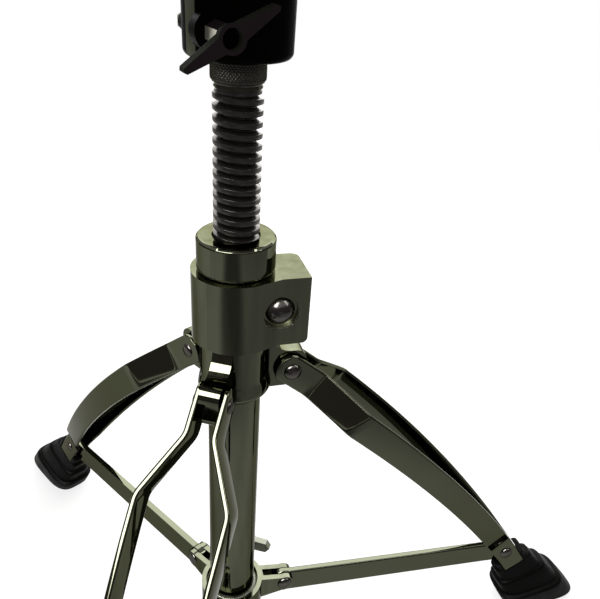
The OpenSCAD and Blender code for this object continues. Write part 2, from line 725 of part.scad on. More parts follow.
// A pivot rivet is open at the tongue: each strap carries its own half
module pivot_rivets(i) color(CHROME) at_leg(i) {
    across([leg_pin_r, leg_pin_z]) translate([0, 0, strap_in]) {
        cylinder(d = rivet_d, h = strap_t);
        translate([0, 0, strap_t]) dome(rivet_tail_d, rivet_tail_h);
    }
    mirror([0, 1, 0]) across([leg_pin_r, leg_pin_z]) translate([0, 0, strap_in]) {
        cylinder(d = rivet_d, h = strap_t);
        translate([0, 0, strap_t]) dome(rivet_head_d, rivet_head_h);
    }
}

module rivet(p, half) {
    across(p) cylinder(d = rivet_d, h = 2 * half, center = true);
    across(p) translate([0, 0, half]) dome(rivet_tail_d, rivet_tail_h);
    mirror([0, 1, 0]) across(p) translate([0, 0, half]) dome(rivet_head_d, rivet_head_h);
}
module foot_rivet(i) color(CHROME) at_leg(i) rivet([foot_pin_r, foot_pin_z], foot_half);

spacer_from = strut_h / 2 + strut_drop + through;
module foot_spacer(i) color(NYLON) at_leg(i) at_foot() box(
    [spacer_from, press + strap_t - foot_half, -strap_h / 2 + through],
    [strap_tail - through, foot_half - strap_t - press, strap_h / 2 - through]);

// Boots: rings that turn from square to the straps at the rim to flat on the floor at the sole
boot_sides = 28;
foot_out = [cos(foot_slope), -sin(foot_slope)];
foot_up = [sin(foot_slope), cos(foot_slope)];
rim_mid = [foot_pin_r, foot_pin_z] + boot_rim * foot_out;
sole_mid = [foot_pin_r + sole_out, 0];
sole_edge = 2.4;
function squared(c, power) = sign(c) * pow(abs(c), power);
function boot_ring(t, grow) = let (
    mid = mix(rim_mid, sole_mid, t),
    turn = mix(foot_up, [1, 0], t),
    reach = turn / norm(turn) * (mix(boot_rim_h, sole_l, pow(t, boot_flare)) / 2 + grow),
    wide = mix(boot_rim_w, sole_w, pow(t, boot_spread)) / 2 + grow,
    power = mix(boot_square, sole_square, t))
    [for (k = [0 : boot_sides - 1]) let (
        a = 360 * k / boot_sides,
        p = mid + reach * squared(cos(a), power))
        [p[0], wide * squared(sin(a), power), max(0, p[1])]];
boot_steps = concat(
    [for (k = [0 : boot_ribs - 1]) each [[k / boot_ribs, 0], [(k + 0.86) / boot_ribs, rib_depth]]],
    [[1, -sole_edge]]);
module boot_form() {
    rings = [for (s = boot_steps) boot_ring(s[0], s[1])];
    n = boot_sides;
    last = len(rings) - 1;
    polyhedron(
        points = [for (r = rings, p = r) p],
        faces = concat(
            [[for (k = [0 : n - 1]) k]],
            [[for (k = [n - 1 : -1 : 0]) last * n + k]],
            [for (r = [0 : last - 1], k = [0 : n - 1])
                let (a = r * n + k, b = r * n + (k + 1) % n)
                each [[a, a + n, b + n], [a, b + n, b]]]));
}
module boot(i) color(RUBBER) at_leg(i) difference() {
    boot_form();
    at_foot() {
        box([-boot_rim_h, -foot_half - press, -strap_h / 2 - room],
            [pocket, foot_half + press, strap_h / 2 + room]);
        box([-boot_rim_h, -boot_rim_w, -strap_h / 2 - room], [window, boot_rim_w, strap_h / 2 + room]);
        box([-boot_rim_h, -foot_half + strap_t, -boot_rim_h], [heel_notch, foot_half - strap_t, 0]);
    }
}

// Struts and the lower hub
module strut(i) color(CHROME) at_leg(i) difference() {
    upright(strut_t) translate([hub_pin_r, hub_pin_z]) rotate(strut_slope) {
        circle(d = eye_d);
        translate([strut_len, 0]) circle(d = eye_d);
        translate([0, -strut_h / 2 - strut_drop]) square([strut_len, strut_h]);
    }
    cross_hole([hub_pin_r, hub_pin_z], rivet_d / 2 + run);
    cross_hole([foot_pin_r, foot_pin_z], rivet_d / 2 + run);
}

module hub_rivet(i) color(CHROME) at_leg(i) rivet([hub_pin_r, hub_pin_z], ear_out);

module at_screw(r) rotate([0, 0, screw_angle]) translate([r, 0, hub_pin_z + screw_rise])
    rotate([0, 90, 0]) children();

module ear_hole() across([hub_pin_r, hub_pin_z])
    cylinder(r = rivet_d / 2 + press, h = 3 * ear_out, center = true);

module lower_hub() color(CHROME) difference() {
    union() {
        translate([0, 0, hub_pin_z - ring_down]) cylinder(d = ring_d, h = ring_down + ring_up);
        for (i = LEGS) at_leg(i) upright(2 * ear_out) {
            translate([hub_pin_r, hub_pin_z - ear_drop]) circle(d = ear_d);
            polygon([
                [liner_d / 2, hub_pin_z - ring_down + ear_step],
                [liner_d / 2, hub_pin_z + ring_up - ear_step],
                [hub_pin_r, hub_pin_z - ear_drop + ear_d / 2 - ear_step],
                [hub_pin_r, hub_pin_z - ear_drop - ear_d / 2 + ear_step]]);
        }
        at_screw(tube_od / 2 + through)
            cylinder(d = screw_boss_d, h = screw_boss - tube_od / 2 - through);
    }
    translate([0, 0, hub_pin_z - ring_down - through])
        cylinder(r = liner_d / 2 + press, h = ring_down + ring_up + 2 * through);
    translate([0, 0, hub_pin_z + ring_up - ring_recess])
        cylinder(d = ring_recess_d, h = ring_recess + through);
    for (i = LEGS) at_leg(i) {
        box([ring_d / 2 + through, -ear_in, hub_pin_z - 2 * ring_down],
            [2 * hub_pin_r, ear_in, hub_pin_z + 2 * ring_up]);
        ear_hole();
    }
    at_screw(0) cylinder(r = hub_screw_d / 2 + run, h = 2 * screw_boss);
}

module hub_liner() color(NYLON) difference() {
    translate([0, 0, hub_pin_z - ring_down]) cylinder(d = liner_d, h = ring_down + ring_up - ring_recess);
    translate([0, 0, hub_pin_z - ring_down - through])
        cylinder(r = tube_od / 2 + run, h = ring_down + ring_up + 2 * through);
    at_screw(0) cylinder(r = hub_screw_d / 2 + run, h = screw_boss);
}

module hub_wing_screw() color(CHROME) {
    at_screw(tube_od / 2 + room) cylinder(d = hub_screw_d, h = hub_wing_out - tube_od / 2);
    at_screw(hub_wing_out) cylinder(d = hub_wing_d, h = hub_wing_len);
    at_screw(hub_wing_out + (hub_wing_len - hub_wing_t) / 2) rotate([0, 0, 90])
        wing(hub_wing_span, hub_wing_root, hub_wing_tip, hub_wing_d / 2, hub_wing_t);
}

column_tube();
tube_plug();
leg_collar();
clamp_block();
thread_sleeve();
lock_bolt();
wedge_front();
wedge_back();
lock_wing_nut();
lock_nut();
spindle();
spindle_thread();
knurled_collar();
guide_bush();
guide_screw();
seat_clamp();
wing_bolt();
jaw_nut();
seat_plate();
plate_screws();
lower_hub();
hub_liner();
hub_wing_screw();
for (i = LEGS) {
    hub_rivet(i);
    strut(i);
    for (side = SIDES) leg_strap(i, side);
    pivot_rivets(i);
    foot_rivet(i);
    foot_spacer(i);
    boot(i);
}
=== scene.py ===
# %% [markdown]
# # The folding base of a drummer's seat
# The solids of this base are already made to size. This lesson gives them their looks: polished
# plate on the metal, black paint on the seat clamp, rubber on the feet, and the small shapes that a
# solid model leaves out, such as softened edges, the rolled thread and the knurl. Every piece stays
# where its solid is, so the first step is to load those solids as a fixed frame.

# %% Load the frame
import json
from math import asin, atan2, copysign, cos, degrees, pi, radians, sin, sqrt

import bmesh
import bpy
from mathutils import Matrix, Vector

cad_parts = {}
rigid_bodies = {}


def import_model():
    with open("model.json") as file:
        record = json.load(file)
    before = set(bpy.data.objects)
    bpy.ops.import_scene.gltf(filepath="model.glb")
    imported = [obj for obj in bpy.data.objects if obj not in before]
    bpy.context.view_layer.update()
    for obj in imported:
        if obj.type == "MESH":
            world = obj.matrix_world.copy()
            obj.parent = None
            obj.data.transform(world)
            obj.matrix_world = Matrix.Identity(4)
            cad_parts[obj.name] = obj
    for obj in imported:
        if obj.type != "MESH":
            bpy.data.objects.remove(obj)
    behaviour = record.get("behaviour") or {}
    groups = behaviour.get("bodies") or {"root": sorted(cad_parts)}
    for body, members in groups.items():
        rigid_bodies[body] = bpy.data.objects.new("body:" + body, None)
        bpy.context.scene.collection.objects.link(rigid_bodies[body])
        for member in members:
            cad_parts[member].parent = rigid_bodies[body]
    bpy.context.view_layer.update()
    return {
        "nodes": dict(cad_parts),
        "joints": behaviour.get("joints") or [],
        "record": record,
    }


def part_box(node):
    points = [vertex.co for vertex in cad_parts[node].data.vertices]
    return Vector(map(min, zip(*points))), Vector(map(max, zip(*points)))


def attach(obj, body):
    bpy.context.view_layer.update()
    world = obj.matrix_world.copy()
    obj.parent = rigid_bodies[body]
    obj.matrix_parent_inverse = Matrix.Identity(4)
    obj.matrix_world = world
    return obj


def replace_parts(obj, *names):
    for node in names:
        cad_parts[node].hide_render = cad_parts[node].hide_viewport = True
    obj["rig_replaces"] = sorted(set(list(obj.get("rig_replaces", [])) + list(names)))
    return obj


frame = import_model()
nodes = frame["nodes"]
record = frame["record"]
joints = {joint["name"]: joint for joint in frame["joints"]}
body_of = {node: body for body, members in record["behaviour"]["bodies"].items()
           for node in members}
slot_of = {part["node"]: part["material_slot"] for part in record["subparts"]}
MM = 0.001
LEGS = (1, 2, 3)
LEG_STEP = radians(120)
scene = bpy.context.scene

# %% [markdown]
# ## The camera
# The picture was taken from close by, a little above the seat clamp, looking down at the base with
# the camera slightly turned. A camera is a place, three directions and a focal length. The place
# and the turns were found by lining up known corners of the base, so they are plain numbers here.

# %% Camera
def linked(name, data):
    """A new object in the scene, at the origin."""
    made = bpy.data.objects.new(name, data)
    scene.collection.objects.link(made)
    return made


def compass(heading, height):
    """The direction with a compass heading and a height angle."""
    flat = cos(height)
    return Vector((sin(heading) * flat, cos(heading) * flat, sin(height)))


CAMERA_PLACE = Vector((-51.83, -269.73, 460.87)) * MM
CAMERA_HEADING = radians(17.616)
CAMERA_DIP = radians(29.606)
CAMERA_ROLL = radians(4.063)
SENSOR = 36.0
FOCAL = 37.72
NEAR_CLIP = 10 * MM

ahead = compass(CAMERA_HEADING, -CAMERA_DIP)
level = Vector((cos(CAMERA_HEADING), -sin(CAMERA_HEADING), 0))
over = level.cross(ahead)
right = cos(CAMERA_ROLL) * level + sin(CAMERA_ROLL) * over
up = -sin(CAMERA_ROLL) * level + cos(CAMERA_ROLL) * over

lens = bpy.data.cameras.new("camera")
lens.sensor_fit = "HORIZONTAL"
lens.sensor_width = SENSOR
lens.lens = FOCAL
lens.clip_start = NEAR_CLIP
camera = linked("camera", lens)
camera.matrix_world = Matrix((
    (right.x, up.x, -ahead.x, CAMERA_PLACE.x),
    (right.y, up.y, -ahead.y, CAMERA_PLACE.y),
    (right.z, up.z, -ahead.z, CAMERA_PLACE.z),
    (0, 0, 0, 1)))
scene.camera = camera
scene.view_settings.view_transform = "Standard"
print("camera: focal length", FOCAL, "mm, dip", round(degrees(CAMERA_DIP), 1), "degrees")

# %% [markdown]
# ## Small helpers for node trees
# Materials, the world and Geometry Nodes are all graphs. One helper adds a node, sets its options
# and wires its inputs: a socket as the value means a link, and so does a node, by its first output.
# Anything else is the input's own value. The others are short forms for the commonest nodes.

# %% Node helpers
def add_node(tree, kind, inputs=None, **options):
    """A new node in tree, with its options set and its inputs wired or given values."""
    made = tree.nodes.new(kind)
    for option, value in options.items():
        setattr(made, option, value)
    for name, value in (inputs or {}).items():
        if isinstance(value, bpy.types.Node):
            value = value.outputs[0]
        if isinstance(value, bpy.types.NodeSocket):
            tree.links.new(value, made.inputs[name])
        else:
            made.inputs[name].default_value = value
    return made


def calc(tree, operation, first, second=0.0):
    """The output of one math node."""
    return add_node(tree, "ShaderNodeMath", {0: first, 1: second}, operation=operation).outputs[0]


def measure(tree, operation, first, second=(0, 0, 0)):
    """The number that one vector math node gives."""
    made = add_node(tree, "ShaderNodeVectorMath", {0: first, 1: second}, operation=operation)
    return made.outputs["Value"]


def ramp(tree, value, span, levels, **options):
    """A number that runs between two levels while value runs through a span."""
    return add_node(tree, "ShaderNodeMapRange", {
        "Value": value, "From Min": span[0], "From Max": span[1], "To Min": levels[0],
        "To Max": levels[1]}, **options).outputs[0]


def object_place(tree):
    """The Object coordinates."""
    return add_node(tree, "ShaderNodeTexCoord").outputs["Object"]


def blank_material(name):
    """A material with an empty tree, and that tree."""
    material = bpy.data.materials.new(name)
    material.use_nodes = True
    material.node_tree.nodes.clear()
    return material, material.node_tree


def surface(tree, shader):
    """Ends a material's tree with a shader."""
    add_node(tree, "ShaderNodeOutputMaterial", {"Surface": shader})


# %% [markdown]
# ## The studio
# Polished metal shows its surroundings, so the studio is most of the metal's look. The floor is
# pale and stays pale in reflections, except where a card that only mirrors see lies over its front
# and paints shade there: darker to the front, far out and round the camera's foot. A wide soft
# panel behind the base lights the faces that look up, a smaller and stronger one at the upper left
# draws the white lines along the edges, and dark cards in front give the deep tones that a
# photographer uses to shape chrome. A small dark card lies where a seat would be, because a seat's
# shade is what keeps the thread dark. The cards and lamps are out of the camera's sight, and only
# the floor shows.

# %% Floor and world
FLOOR_R, FLOOR_DROP, FLOOR_SIDES = 1.7, 0.3 * MM, 96
FLOOR_TONE = (0.3, 0.3, 0.295, 1)
GLOW_SPAN, GLOW_LEVELS = (0.45, 1.1), (0.72, 0.98)
FLOOR_CLEAR = 0.3
WORLD_FILL = 0.45


def mesh_from(form, name, sharp=None):
    """The mesh of a form, which is used up. With an angle, it is smooth between sharper edges."""
    mesh = bpy.data.meshes.new(name)
    form.to_mesh(mesh)
    form.free()
    if sharp:
        mesh.shade_smooth()
        mesh.set_sharp_from_angle(angle=sharp)
    return mesh


def bright_rays(tree):
    """Masks of the camera's own rays, and of all rays that show the background."""
    path = add_node(tree, "ShaderNodeLightPath").outputs
    seen = calc(tree, "MAXIMUM", path["Is Camera Ray"], path["Is Glossy Ray"])
    return path["Is Camera Ray"], calc(tree, "MAXIMUM", seen, path["Is Transmission Ray"])


def floor_material():
    """Pale, partly clear, and with a glow that grows outwards."""
    material, tree = blank_material("pale_floor")
    direct, bright = bright_rays(tree)
    shade = add_node(tree, "ShaderNodeBsdfDiffuse", {"Color": FLOOR_TONE})
    away = measure(tree, "LENGTH", object_place(tree))
    glow = add_node(tree, "ShaderNodeEmission", {
        "Strength": calc(tree, "MULTIPLY", bright, ramp(tree, away, GLOW_SPAN, GLOW_LEVELS))})
    both = add_node(tree, "ShaderNodeAddShader", {0: shade, 1: glow})
    clear = add_node(tree, "ShaderNodeBsdfTransparent")
    mixed = add_node(tree, "ShaderNodeMixShader", {
        0: calc(tree, "MULTIPLY", direct, FLOOR_CLEAR), 1: both, 2: clear})
    surface(tree, mixed)
    return material


floor_form = bmesh.new()
bmesh.ops.create_circle(floor_form, cap_ends=True, radius=FLOOR_R, segments=FLOOR_SIDES,
                        matrix=Matrix.Translation((0, 0, -FLOOR_DROP)))
floor = linked("floor", mesh_from(floor_form, "floor"))
floor.data.materials.append(floor_material())

world = bpy.data.worlds.new("studio")
world.use_nodes = True
sky_tree = world.node_tree
sky_tree.nodes.clear()
backdrop = calc(sky_tree, "MULTIPLY", bright_rays(sky_tree)[1], 1 - WORLD_FILL)
sky = add_node(sky_tree, "ShaderNodeBackground", {
    "Color": (1, 1, 1, 1), "Strength": calc(sky_tree, "ADD", backdrop, WORLD_FILL)})
add_node(sky_tree, "ShaderNodeOutputWorld", {"Surface": sky})
scene.world = world
print("floor: radius", FLOOR_R, "m")

# %% Lamps
SUBJECT = Vector((0, 0, 250)) * MM
POWER_PER_AREA = 4.0


def panel(name, heading, height, distance, width, tall, radiance, glints_only=True):
    """A soft rectangular lamp that faces the base, placed by compass heading and height angle."""
    lamp = bpy.data.lights.new(name, "AREA")
    lamp.shape = "RECTANGLE"
    lamp.size = width
    lamp.size_y = tall
    lamp.energy = radiance * width * tall * POWER_PER_AREA
    way = compass(radians(heading), radians(height))
    holder = linked(name, lamp)
    holder.location = SUBJECT + way * distance
    holder.rotation_euler = way.to_track_quat("Z", "Y").to_euler()
    holder.visible_camera = False
    holder.visible_diffuse = not glints_only


panel("back_panel", heading=18, height=30, distance=1.7, width=3.0, tall=1.75, radiance=4.8,
      glints_only=False)
panel("key_panel", heading=228, height=56, distance=1.3, width=1.0, tall=1.3, radiance=16.0)
panel("top_panel", heading=300, height=80, distance=1.5, width=0.9, tall=0.9, radiance=14.0)
panel("side_strip", heading=118, height=40, distance=1.5, width=0.16, tall=0.9, radiance=9.0)
print("lamps:", len(bpy.data.lights))

# %% Dark cards
CARD_TONE = (0.17, 0.15, 0.15, 1)
WALL_R, WALL_LOW, WALL_HIGH, WALL_PARTS = 1.55, 0.02, 1.05, 20
WALL_FROM, WALL_TO = radians(80), radians(310)
WALL_CORNERS = ((0, WALL_LOW), (1, WALL_LOW), (1, WALL_HIGH), (0, WALL_HIGH))


def card_material():
    """One even dark tone."""
    material, tree = blank_material("dark_card")
    surface(tree, add_node(tree, "ShaderNodeEmission", {"Color": CARD_TONE}))
    return material


def card(name, corners, material):
    """A flat card that only mirrors see."""
    mesh = bpy.data.meshes.new(name)
    mesh.from_pydata(corners, [], [tuple(range(len(corners)))])
    mesh.materials.append(material)
    piece = linked(name, mesh)
    piece.visible_camera = False
    piece.visible_diffuse = False
    piece.visible_shadow = False


def wall_point(share, height):
    """A point on the round wall of cards, by its share of the way round."""
    way = compass(WALL_FROM + (WALL_TO - WALL_FROM) * share, 0)
    return way * WALL_R + Vector((0, 0, height))


dark = card_material()
for k in range(WALL_PARTS):
    card(f"wall_card_{k + 1}", [wall_point((k + on) / WALL_PARTS, height)
                                for on, height in WALL_CORNERS], dark)
print("wall cards:", WALL_PARTS)

# %% Shaded floor card
SHADE_CORNERS, SHADE_Z = ((-1.4, -1.4), (1.4, -1.4), (1.4, -0.02), (-1.4, -0.02)), 1 * MM
SHADE_WAY = (0.38, -0.92, 0.0)
SHADE_SPAN, SHADE_LEVELS = (0.14, 0.4), (1.0, 0.5)
POOL_PLACE = (-0.2, -0.52, 0.0)
POOL_SPAN, POOL_LEVELS = (0.16, 0.36), (0.36, 1.0)
FADE_SPAN, FADE_LEVELS = (0.62, 1.05), (1.0, 0.22)


def shade_material():
    """Bright by the base, darker to the front, far out and round the place of the camera's foot."""
    material, tree = blank_material("shaded_card")
    place = object_place(tree)
    light = 1.0
    for value, span, levels in (
            (measure(tree, "DOT_PRODUCT", place, SHADE_WAY), SHADE_SPAN, SHADE_LEVELS),
            (measure(tree, "DISTANCE", place, POOL_PLACE), POOL_SPAN, POOL_LEVELS),
            (measure(tree, "LENGTH", place), FADE_SPAN, FADE_LEVELS)):
        soft = ramp(tree, value, span, levels, interpolation_type="SMOOTHSTEP")
        light = calc(tree, "MULTIPLY", light, soft)
    surface(tree, add_node(tree, "ShaderNodeEmission", {"Strength": light}))
    return material


# Painted shade: mirrors see this card in place of the floor's front, darker to the front, far out
# and round the camera's foot.
card("floor_card", [(x, y, SHADE_Z) for x, y in SHADE_CORNERS], shade_material())
print("floor card:", len(SHADE_CORNERS), "corners")

# %% Card in the place of a seat
SEAT_R, SEAT_Z, SEAT_SIDES = 0.12, 0.478, 32
seat_turns = [2 * pi * k / SEAT_SIDES for k in range(SEAT_SIDES)]
card("seat_card", [(SEAT_R * cos(a), SEAT_R * sin(a), SEAT_Z) for a in seat_turns], dark)
print("seat card:", 2 * SEAT_R, "m across")

# %% [markdown]
# ## Finishes
# Three effects are shared by many finishes, so each is one node group. Handling marks are the faint
# smears and hairlines that make a polished face look real: they change how rough a place is. Tone
# drift makes a colour wander a little from place to place, as plate, paint and rubber do. Its Rise
# stretches the pattern along the column: a small Rise draws it out into upright streaks, which on
# the dark chrome are painted reflections. Grain is the height of a fine pebbled skin.

# %% Shared effects
SMEAR_SPAN, HAIRLINE_SPAN = (0.45, 0.75), (0.58, 0.72)
HAIRLINE_STRETCH = (900.0, 900.0, 60.0)


def xyz(tree, **parts):
    """The output of one Combine XYZ node."""
    return add_node(tree, "ShaderNodeCombineXYZ", parts).outputs[0]


def noise(tree, place, scale, detail):
    """The value of one noise texture."""
    return add_node(tree, "ShaderNodeTexNoise", {
        "Vector": place, "Scale": scale, "Detail": detail}).outputs[0]


def shader_group(name, inputs, output, kind):
    """An empty shader group with named inputs at their start values, and one output."""
    group = bpy.data.node_groups.new(name, "ShaderNodeTree")
    for label, start in inputs.items():
        like = "NodeSocketFloat" if isinstance(start, float) else "NodeSocketColor"
        socket = group.interface.new_socket(label, in_out="INPUT", socket_type=like)
        socket.default_value = start
    group.interface.new_socket(output, in_out="OUTPUT", socket_type=kind)
    return group, add_node(group, "NodeGroupInput").outputs


def handling_marks():
    """Roughness that rises in smears and along fine hairlines."""
    group, given = shader_group("handling_marks", {
        "Roughness": 0.05, "Smear": 0.05, "Hairline": 0.04, "Scale": 60.0},
        "Roughness", "NodeSocketFloat")
    place = object_place(group)
    smear = noise(group, place, given["Scale"], 4.0)
    soft = ramp(group, smear, SMEAR_SPAN, (0.0, given["Smear"]))
    stretch = add_node(group, "ShaderNodeMapping", {"Vector": place, "Scale": HAIRLINE_STRETCH})
    lines = noise(group, stretch, 1.0, 2.0)
    thin = ramp(group, lines, HAIRLINE_SPAN, (0.0, given["Hairline"]))
    total = calc(group, "ADD", calc(group, "ADD", soft, thin), given["Roughness"])
    add_node(group, "NodeGroupOutput", {"Roughness": total})
    return group


def tone_drift_and_painted_streaks():
    """A colour that wanders between two tones at random, and that is painted reflection where it is
    drawn out into upright streaks.
    """
    group, given = shader_group("tone_drift_and_painted_streaks", {
        "Light": (1, 1, 1, 1), "Deep": (0, 0, 0, 1), "Scale": 25.0, "Rise": 1.0},
        "Color", "NodeSocketColor")
    drawn = add_node(group, "ShaderNodeVectorMath", {
        0: object_place(group), 1: xyz(group, X=1.0, Y=1.0, Z=given["Rise"])},
        operation="MULTIPLY")
    cloud = noise(group, drawn, given["Scale"], 5.0)
    blend = add_node(group, "ShaderNodeMix", {
        "Factor": cloud, "A": given["Light"], "B": given["Deep"]}, data_type="RGBA")
    add_node(group, "NodeGroupOutput", {"Color": blend.outputs["Result"]})
    return group


def grain():
    """Height of a fine pebbled skin, for paint, moulded plastic and rubber."""
    group, given = shader_group("grain", {"Scale": 2500.0}, "Height", "NodeSocketFloat")
    pits = noise(group, object_place(group), given["Scale"], 3.0)
    add_node(group, "NodeGroupOutput", {"Height": pits})
    return group


MARKS = handling_marks()
DRIFT_AND_STREAKS = tone_drift_and_painted_streaks()
GRAIN = grain()
print("shared effects:", MARKS.name, DRIFT_AND_STREAKS.name, GRAIN.name)

# %% [markdown]
# ## One maker for all finishes
# Each finish is a Principled shader with its own two tones, roughness and marks. Numbers that are
# the same all over sit on the shader itself, and only what changes over the surface comes from a
# group. A little bump gives paint and rubber their skin, and polished plate gets none.

# %% Finish maker
def finish(name, light, deep, rough, smear, hairline, metal=0.0, drift=25.0, rise=1.0, skin=None,
           **sockets):
    """A material. The skin is the grain's scale, the bump's strength and its depth."""
    material, tree = blank_material(name)
    tone = add_node(tree, "ShaderNodeGroup", {
        "Light": (*light, 1), "Deep": (*deep, 1), "Scale": drift, "Rise": rise}, node_tree=DRIFT_AND_STREAKS)
    marks = add_node(tree, "ShaderNodeGroup", {
        "Roughness": rough, "Smear": smear, "Hairline": hairline}, node_tree=MARKS)
    inputs = {"Base Color": tone, "Roughness": marks, "Metallic": metal}
    for socket, value in sockets.items():
        inputs[socket.replace("_", " ")] = value
    if skin:
        scale, strength, depth = skin
        pebble = add_node(tree, "ShaderNodeGroup", {"Scale": scale}, node_tree=GRAIN)
        inputs["Normal"] = add_node(tree, "ShaderNodeBump", {
            "Height": pebble, "Strength": strength, "Distance": depth})
    surface(tree, add_node(tree, "ShaderNodeBsdfPrincipled", inputs))
    return material


# %% All finishes
DARK_EDGE = (0.41, 0.405, 0.392, 1)
LEG_EDGE = (0.445, 0.443, 0.424, 1)
DULL, MATT, SHEEN = 1.14, 1.015, 1.027
# The dark chrome's small rise draws its drift out into upright streaks: painted reflections.
CHROME = finish("dark_chrome", (0.1, 0.105, 0.073), (0.044, 0.0465, 0.033), 0.03, 0.05, 0.03,
                metal=1.0, drift=140.0, rise=0.12, Specular_Tint=DARK_EDGE)
PLATE = finish("leg_plate", (0.078, 0.082, 0.0575), (0.064, 0.067, 0.0465), 0.03, 0.05, 0.03,
               metal=1.0, Specular_Tint=LEG_EDGE)
SATIN = finish("satin_plate", (0.085, 0.08, 0.074), (0.062, 0.059, 0.054), 0.17, 0.06, 0.03,
               metal=1.0, drift=300.0, Specular_Tint=DARK_EDGE)
THREAD = finish("rolled_thread", (0.06, 0.056, 0.05), (0.034, 0.031, 0.028), 0.2, 0.08, 0.05,
                metal=0.6, drift=180.0, Specular_Tint=DARK_EDGE)
KNURL = finish("knurled_steel", (0.054, 0.054, 0.044), (0.026, 0.025, 0.022), 0.34, 0.1, 0.05,
               metal=1.0, drift=900.0, Specular_Tint=DARK_EDGE)
BARE = finish("bare_jaw", (0.34, 0.348, 0.245), (0.285, 0.292, 0.204), 0.6, 0.12, 0.0, IOR=DULL)
PALE = finish("pale_plate", (0.165, 0.174, 0.124), (0.135, 0.142, 0.101), 0.35, 0.12, 0.03,
              metal=0.25)
ZINC = finish("zinc_plate", (0.62, 0.61, 0.5), (0.48, 0.47, 0.38), 0.26, 0.1, 0.05, metal=1.0)
PAINT = finish("black_paint", (0.0026, 0.0027, 0.0024), (0.0016, 0.0016, 0.0014), 0.22, 0.1, 0.03,
               skin=(1800.0, 0.06, 0.0002), IOR=SHEEN)
WING = finish("wing_enamel", (0.026, 0.02, 0.0222), (0.02, 0.0152, 0.017), 0.34, 0.12, 0.03,
              skin=(1500.0, 0.1, 0.0002), IOR=MATT)
# The wing's sides: a raw cast finish, made paler than the front as painted light.
WING_SIDE = finish("wing_side", (0.045, 0.047, 0.036), (0.032, 0.0335, 0.0255), 0.4, 0.12, 0.0,
                   IOR=MATT)
RUBBER = finish("boot_rubber", (0.0032, 0.0033, 0.0028), (0.002, 0.002, 0.0018), 0.45, 0.15, 0.0,
                skin=(2600.0, 0.25, 0.0003), IOR=DULL, Specular_IOR_Level=0.2)
NYLON = finish("moulded_nylon", (0.7, 0.69, 0.63), (0.62, 0.61, 0.55), 0.45, 0.1, 0.0,
               skin=(2200.0, 0.1, 0.0002))
PLASTIC = finish("black_plastic", (0.01, 0.01, 0.01), (0.007, 0.007, 0.007), 0.45, 0.1, 0.0,
                 skin=(2400.0, 0.2, 0.0002), IOR=DULL)
MATERIAL_OF_SLOT = {"chrome": CHROME, "black_paint": PAINT, "rubber": RUBBER, "nylon": NYLON,
                    "zinc": ZINC, "black_plastic": PLASTIC}
print("finishes:", len(bpy.data.materials))

# %% [markdown]
# ## Softened edges
# A turned or cast piece never has a razor edge: a thin rounding catches the light, and that line is
# what makes metal look like metal. The solids come as loose triangles, so a copy is merged, its
# flat faces are made whole, and the Bevel modifier rounds every sharp edge. The plain result then
# stands for the solid. The bevel under the lock nut lies in the dark gap above the clamp block, so
# a brighter second finish on its faces is painted light.

# %% Helpers for finished pieces
MERGE = 0.002 * MM
FLAT = radians(0.25)
SHARP = radians(25)


def place_piece(name, mesh, node, material=None, replaced=None):
    """An object like a node: on its body, and in place of it or of a list of nodes."""
    piece = linked(name, mesh)
    if material:
        mesh.materials.clear()
        mesh.materials.append(material)
    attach(piece, body_of[node])
    replaced = [node] if replaced is None else replaced
    if replaced:
        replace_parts(piece, *replaced)
    return piece


def merged_copy(node):
    """The solid's own mesh with its seams closed and its flat faces whole."""
    form = bmesh.new()
    form.from_mesh(nodes[node].data)
    bmesh.ops.remove_doubles(form, verts=form.verts, dist=MERGE)
    bmesh.ops.dissolve_limit(form, angle_limit=FLAT, verts=form.verts, edges=form.edges)
    return mesh_from(form, node + "_finished", SHARP)


def baked(holder):
    """The plain mesh that an object's modifiers give."""
    bpy.context.view_layer.update()
    seen = holder.evaluated_get(bpy.context.evaluated_depsgraph_get())
    mesh = bpy.data.meshes.new_from_object(seen)
    bpy.data.objects.remove(holder)
    return mesh


def rounded(mesh, width, segments=2):
    """The mesh with its sharp edges rounded."""
    holder = linked(mesh.name, mesh)
    edges = holder.modifiers.new("edges", "BEVEL")
    edges.width = width
    edges.segments = segments
    edges.limit_method = "ANGLE"
    edges.angle_limit = SHARP
    flats = holder.modifiers.new("flats", "WEIGHTED_NORMAL")
    flats.keep_sharp = True
    flats.weight = 100
    return baked(holder)


def soften(node, width, material=None):
    """Replaces a solid by its softened copy."""
    mesh = rounded(merged_copy(node), width)
    return place_piece(node + "_finished", mesh, node,
                       material or MATERIAL_OF_SLOT[slot_of[node]])


def refinish(piece, material, is_picked):
    """Gives one more finish to the faces that a test picks."""
    piece.data.materials.append(material)
    picked = [face for face in piece.data.polygons if is_picked(face)]
    for face in picked:
        face.material_index = len(piece.data.materials) - 1
    print(piece.name, "has", len(picked), "faces in", material.name)


# %% Softened pieces
EDGE_MM = {
    "column_tube": 0.4, "leg_collar": 0.8, "clamp_block": 0.7, "lock_nut": 0.4,
    "lock_wing_nut": 0.8, "lower_hub": 0.7, "tube_plug": 0.5, "seat_plate": 0.5,
    "hub_wing_screw": 1.0, "jaw_nut": 0.25, "spindle": 0.25, "seat_clamp": 0.6, "wing_bolt": 0.7}
OWN_FINISH = {"hub_wing_screw": PALE, "jaw_nut": BARE, "spindle": THREAD, "wing_bolt": WING}
STRUT_EDGE_MM = 1.4
NUT_FOOT, NUT_TILT = 1.4 * MM, -0.2
for leg in LEGS:
    EDGE_MM[f"strut_{leg}"] = STRUT_EDGE_MM
    OWN_FINISH[f"strut_{leg}"] = PLATE
softened = {node: soften(node, edge * MM, OWN_FINISH.get(node)) for node, edge in EDGE_MM.items()}
nut_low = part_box("lock_nut")[0].z
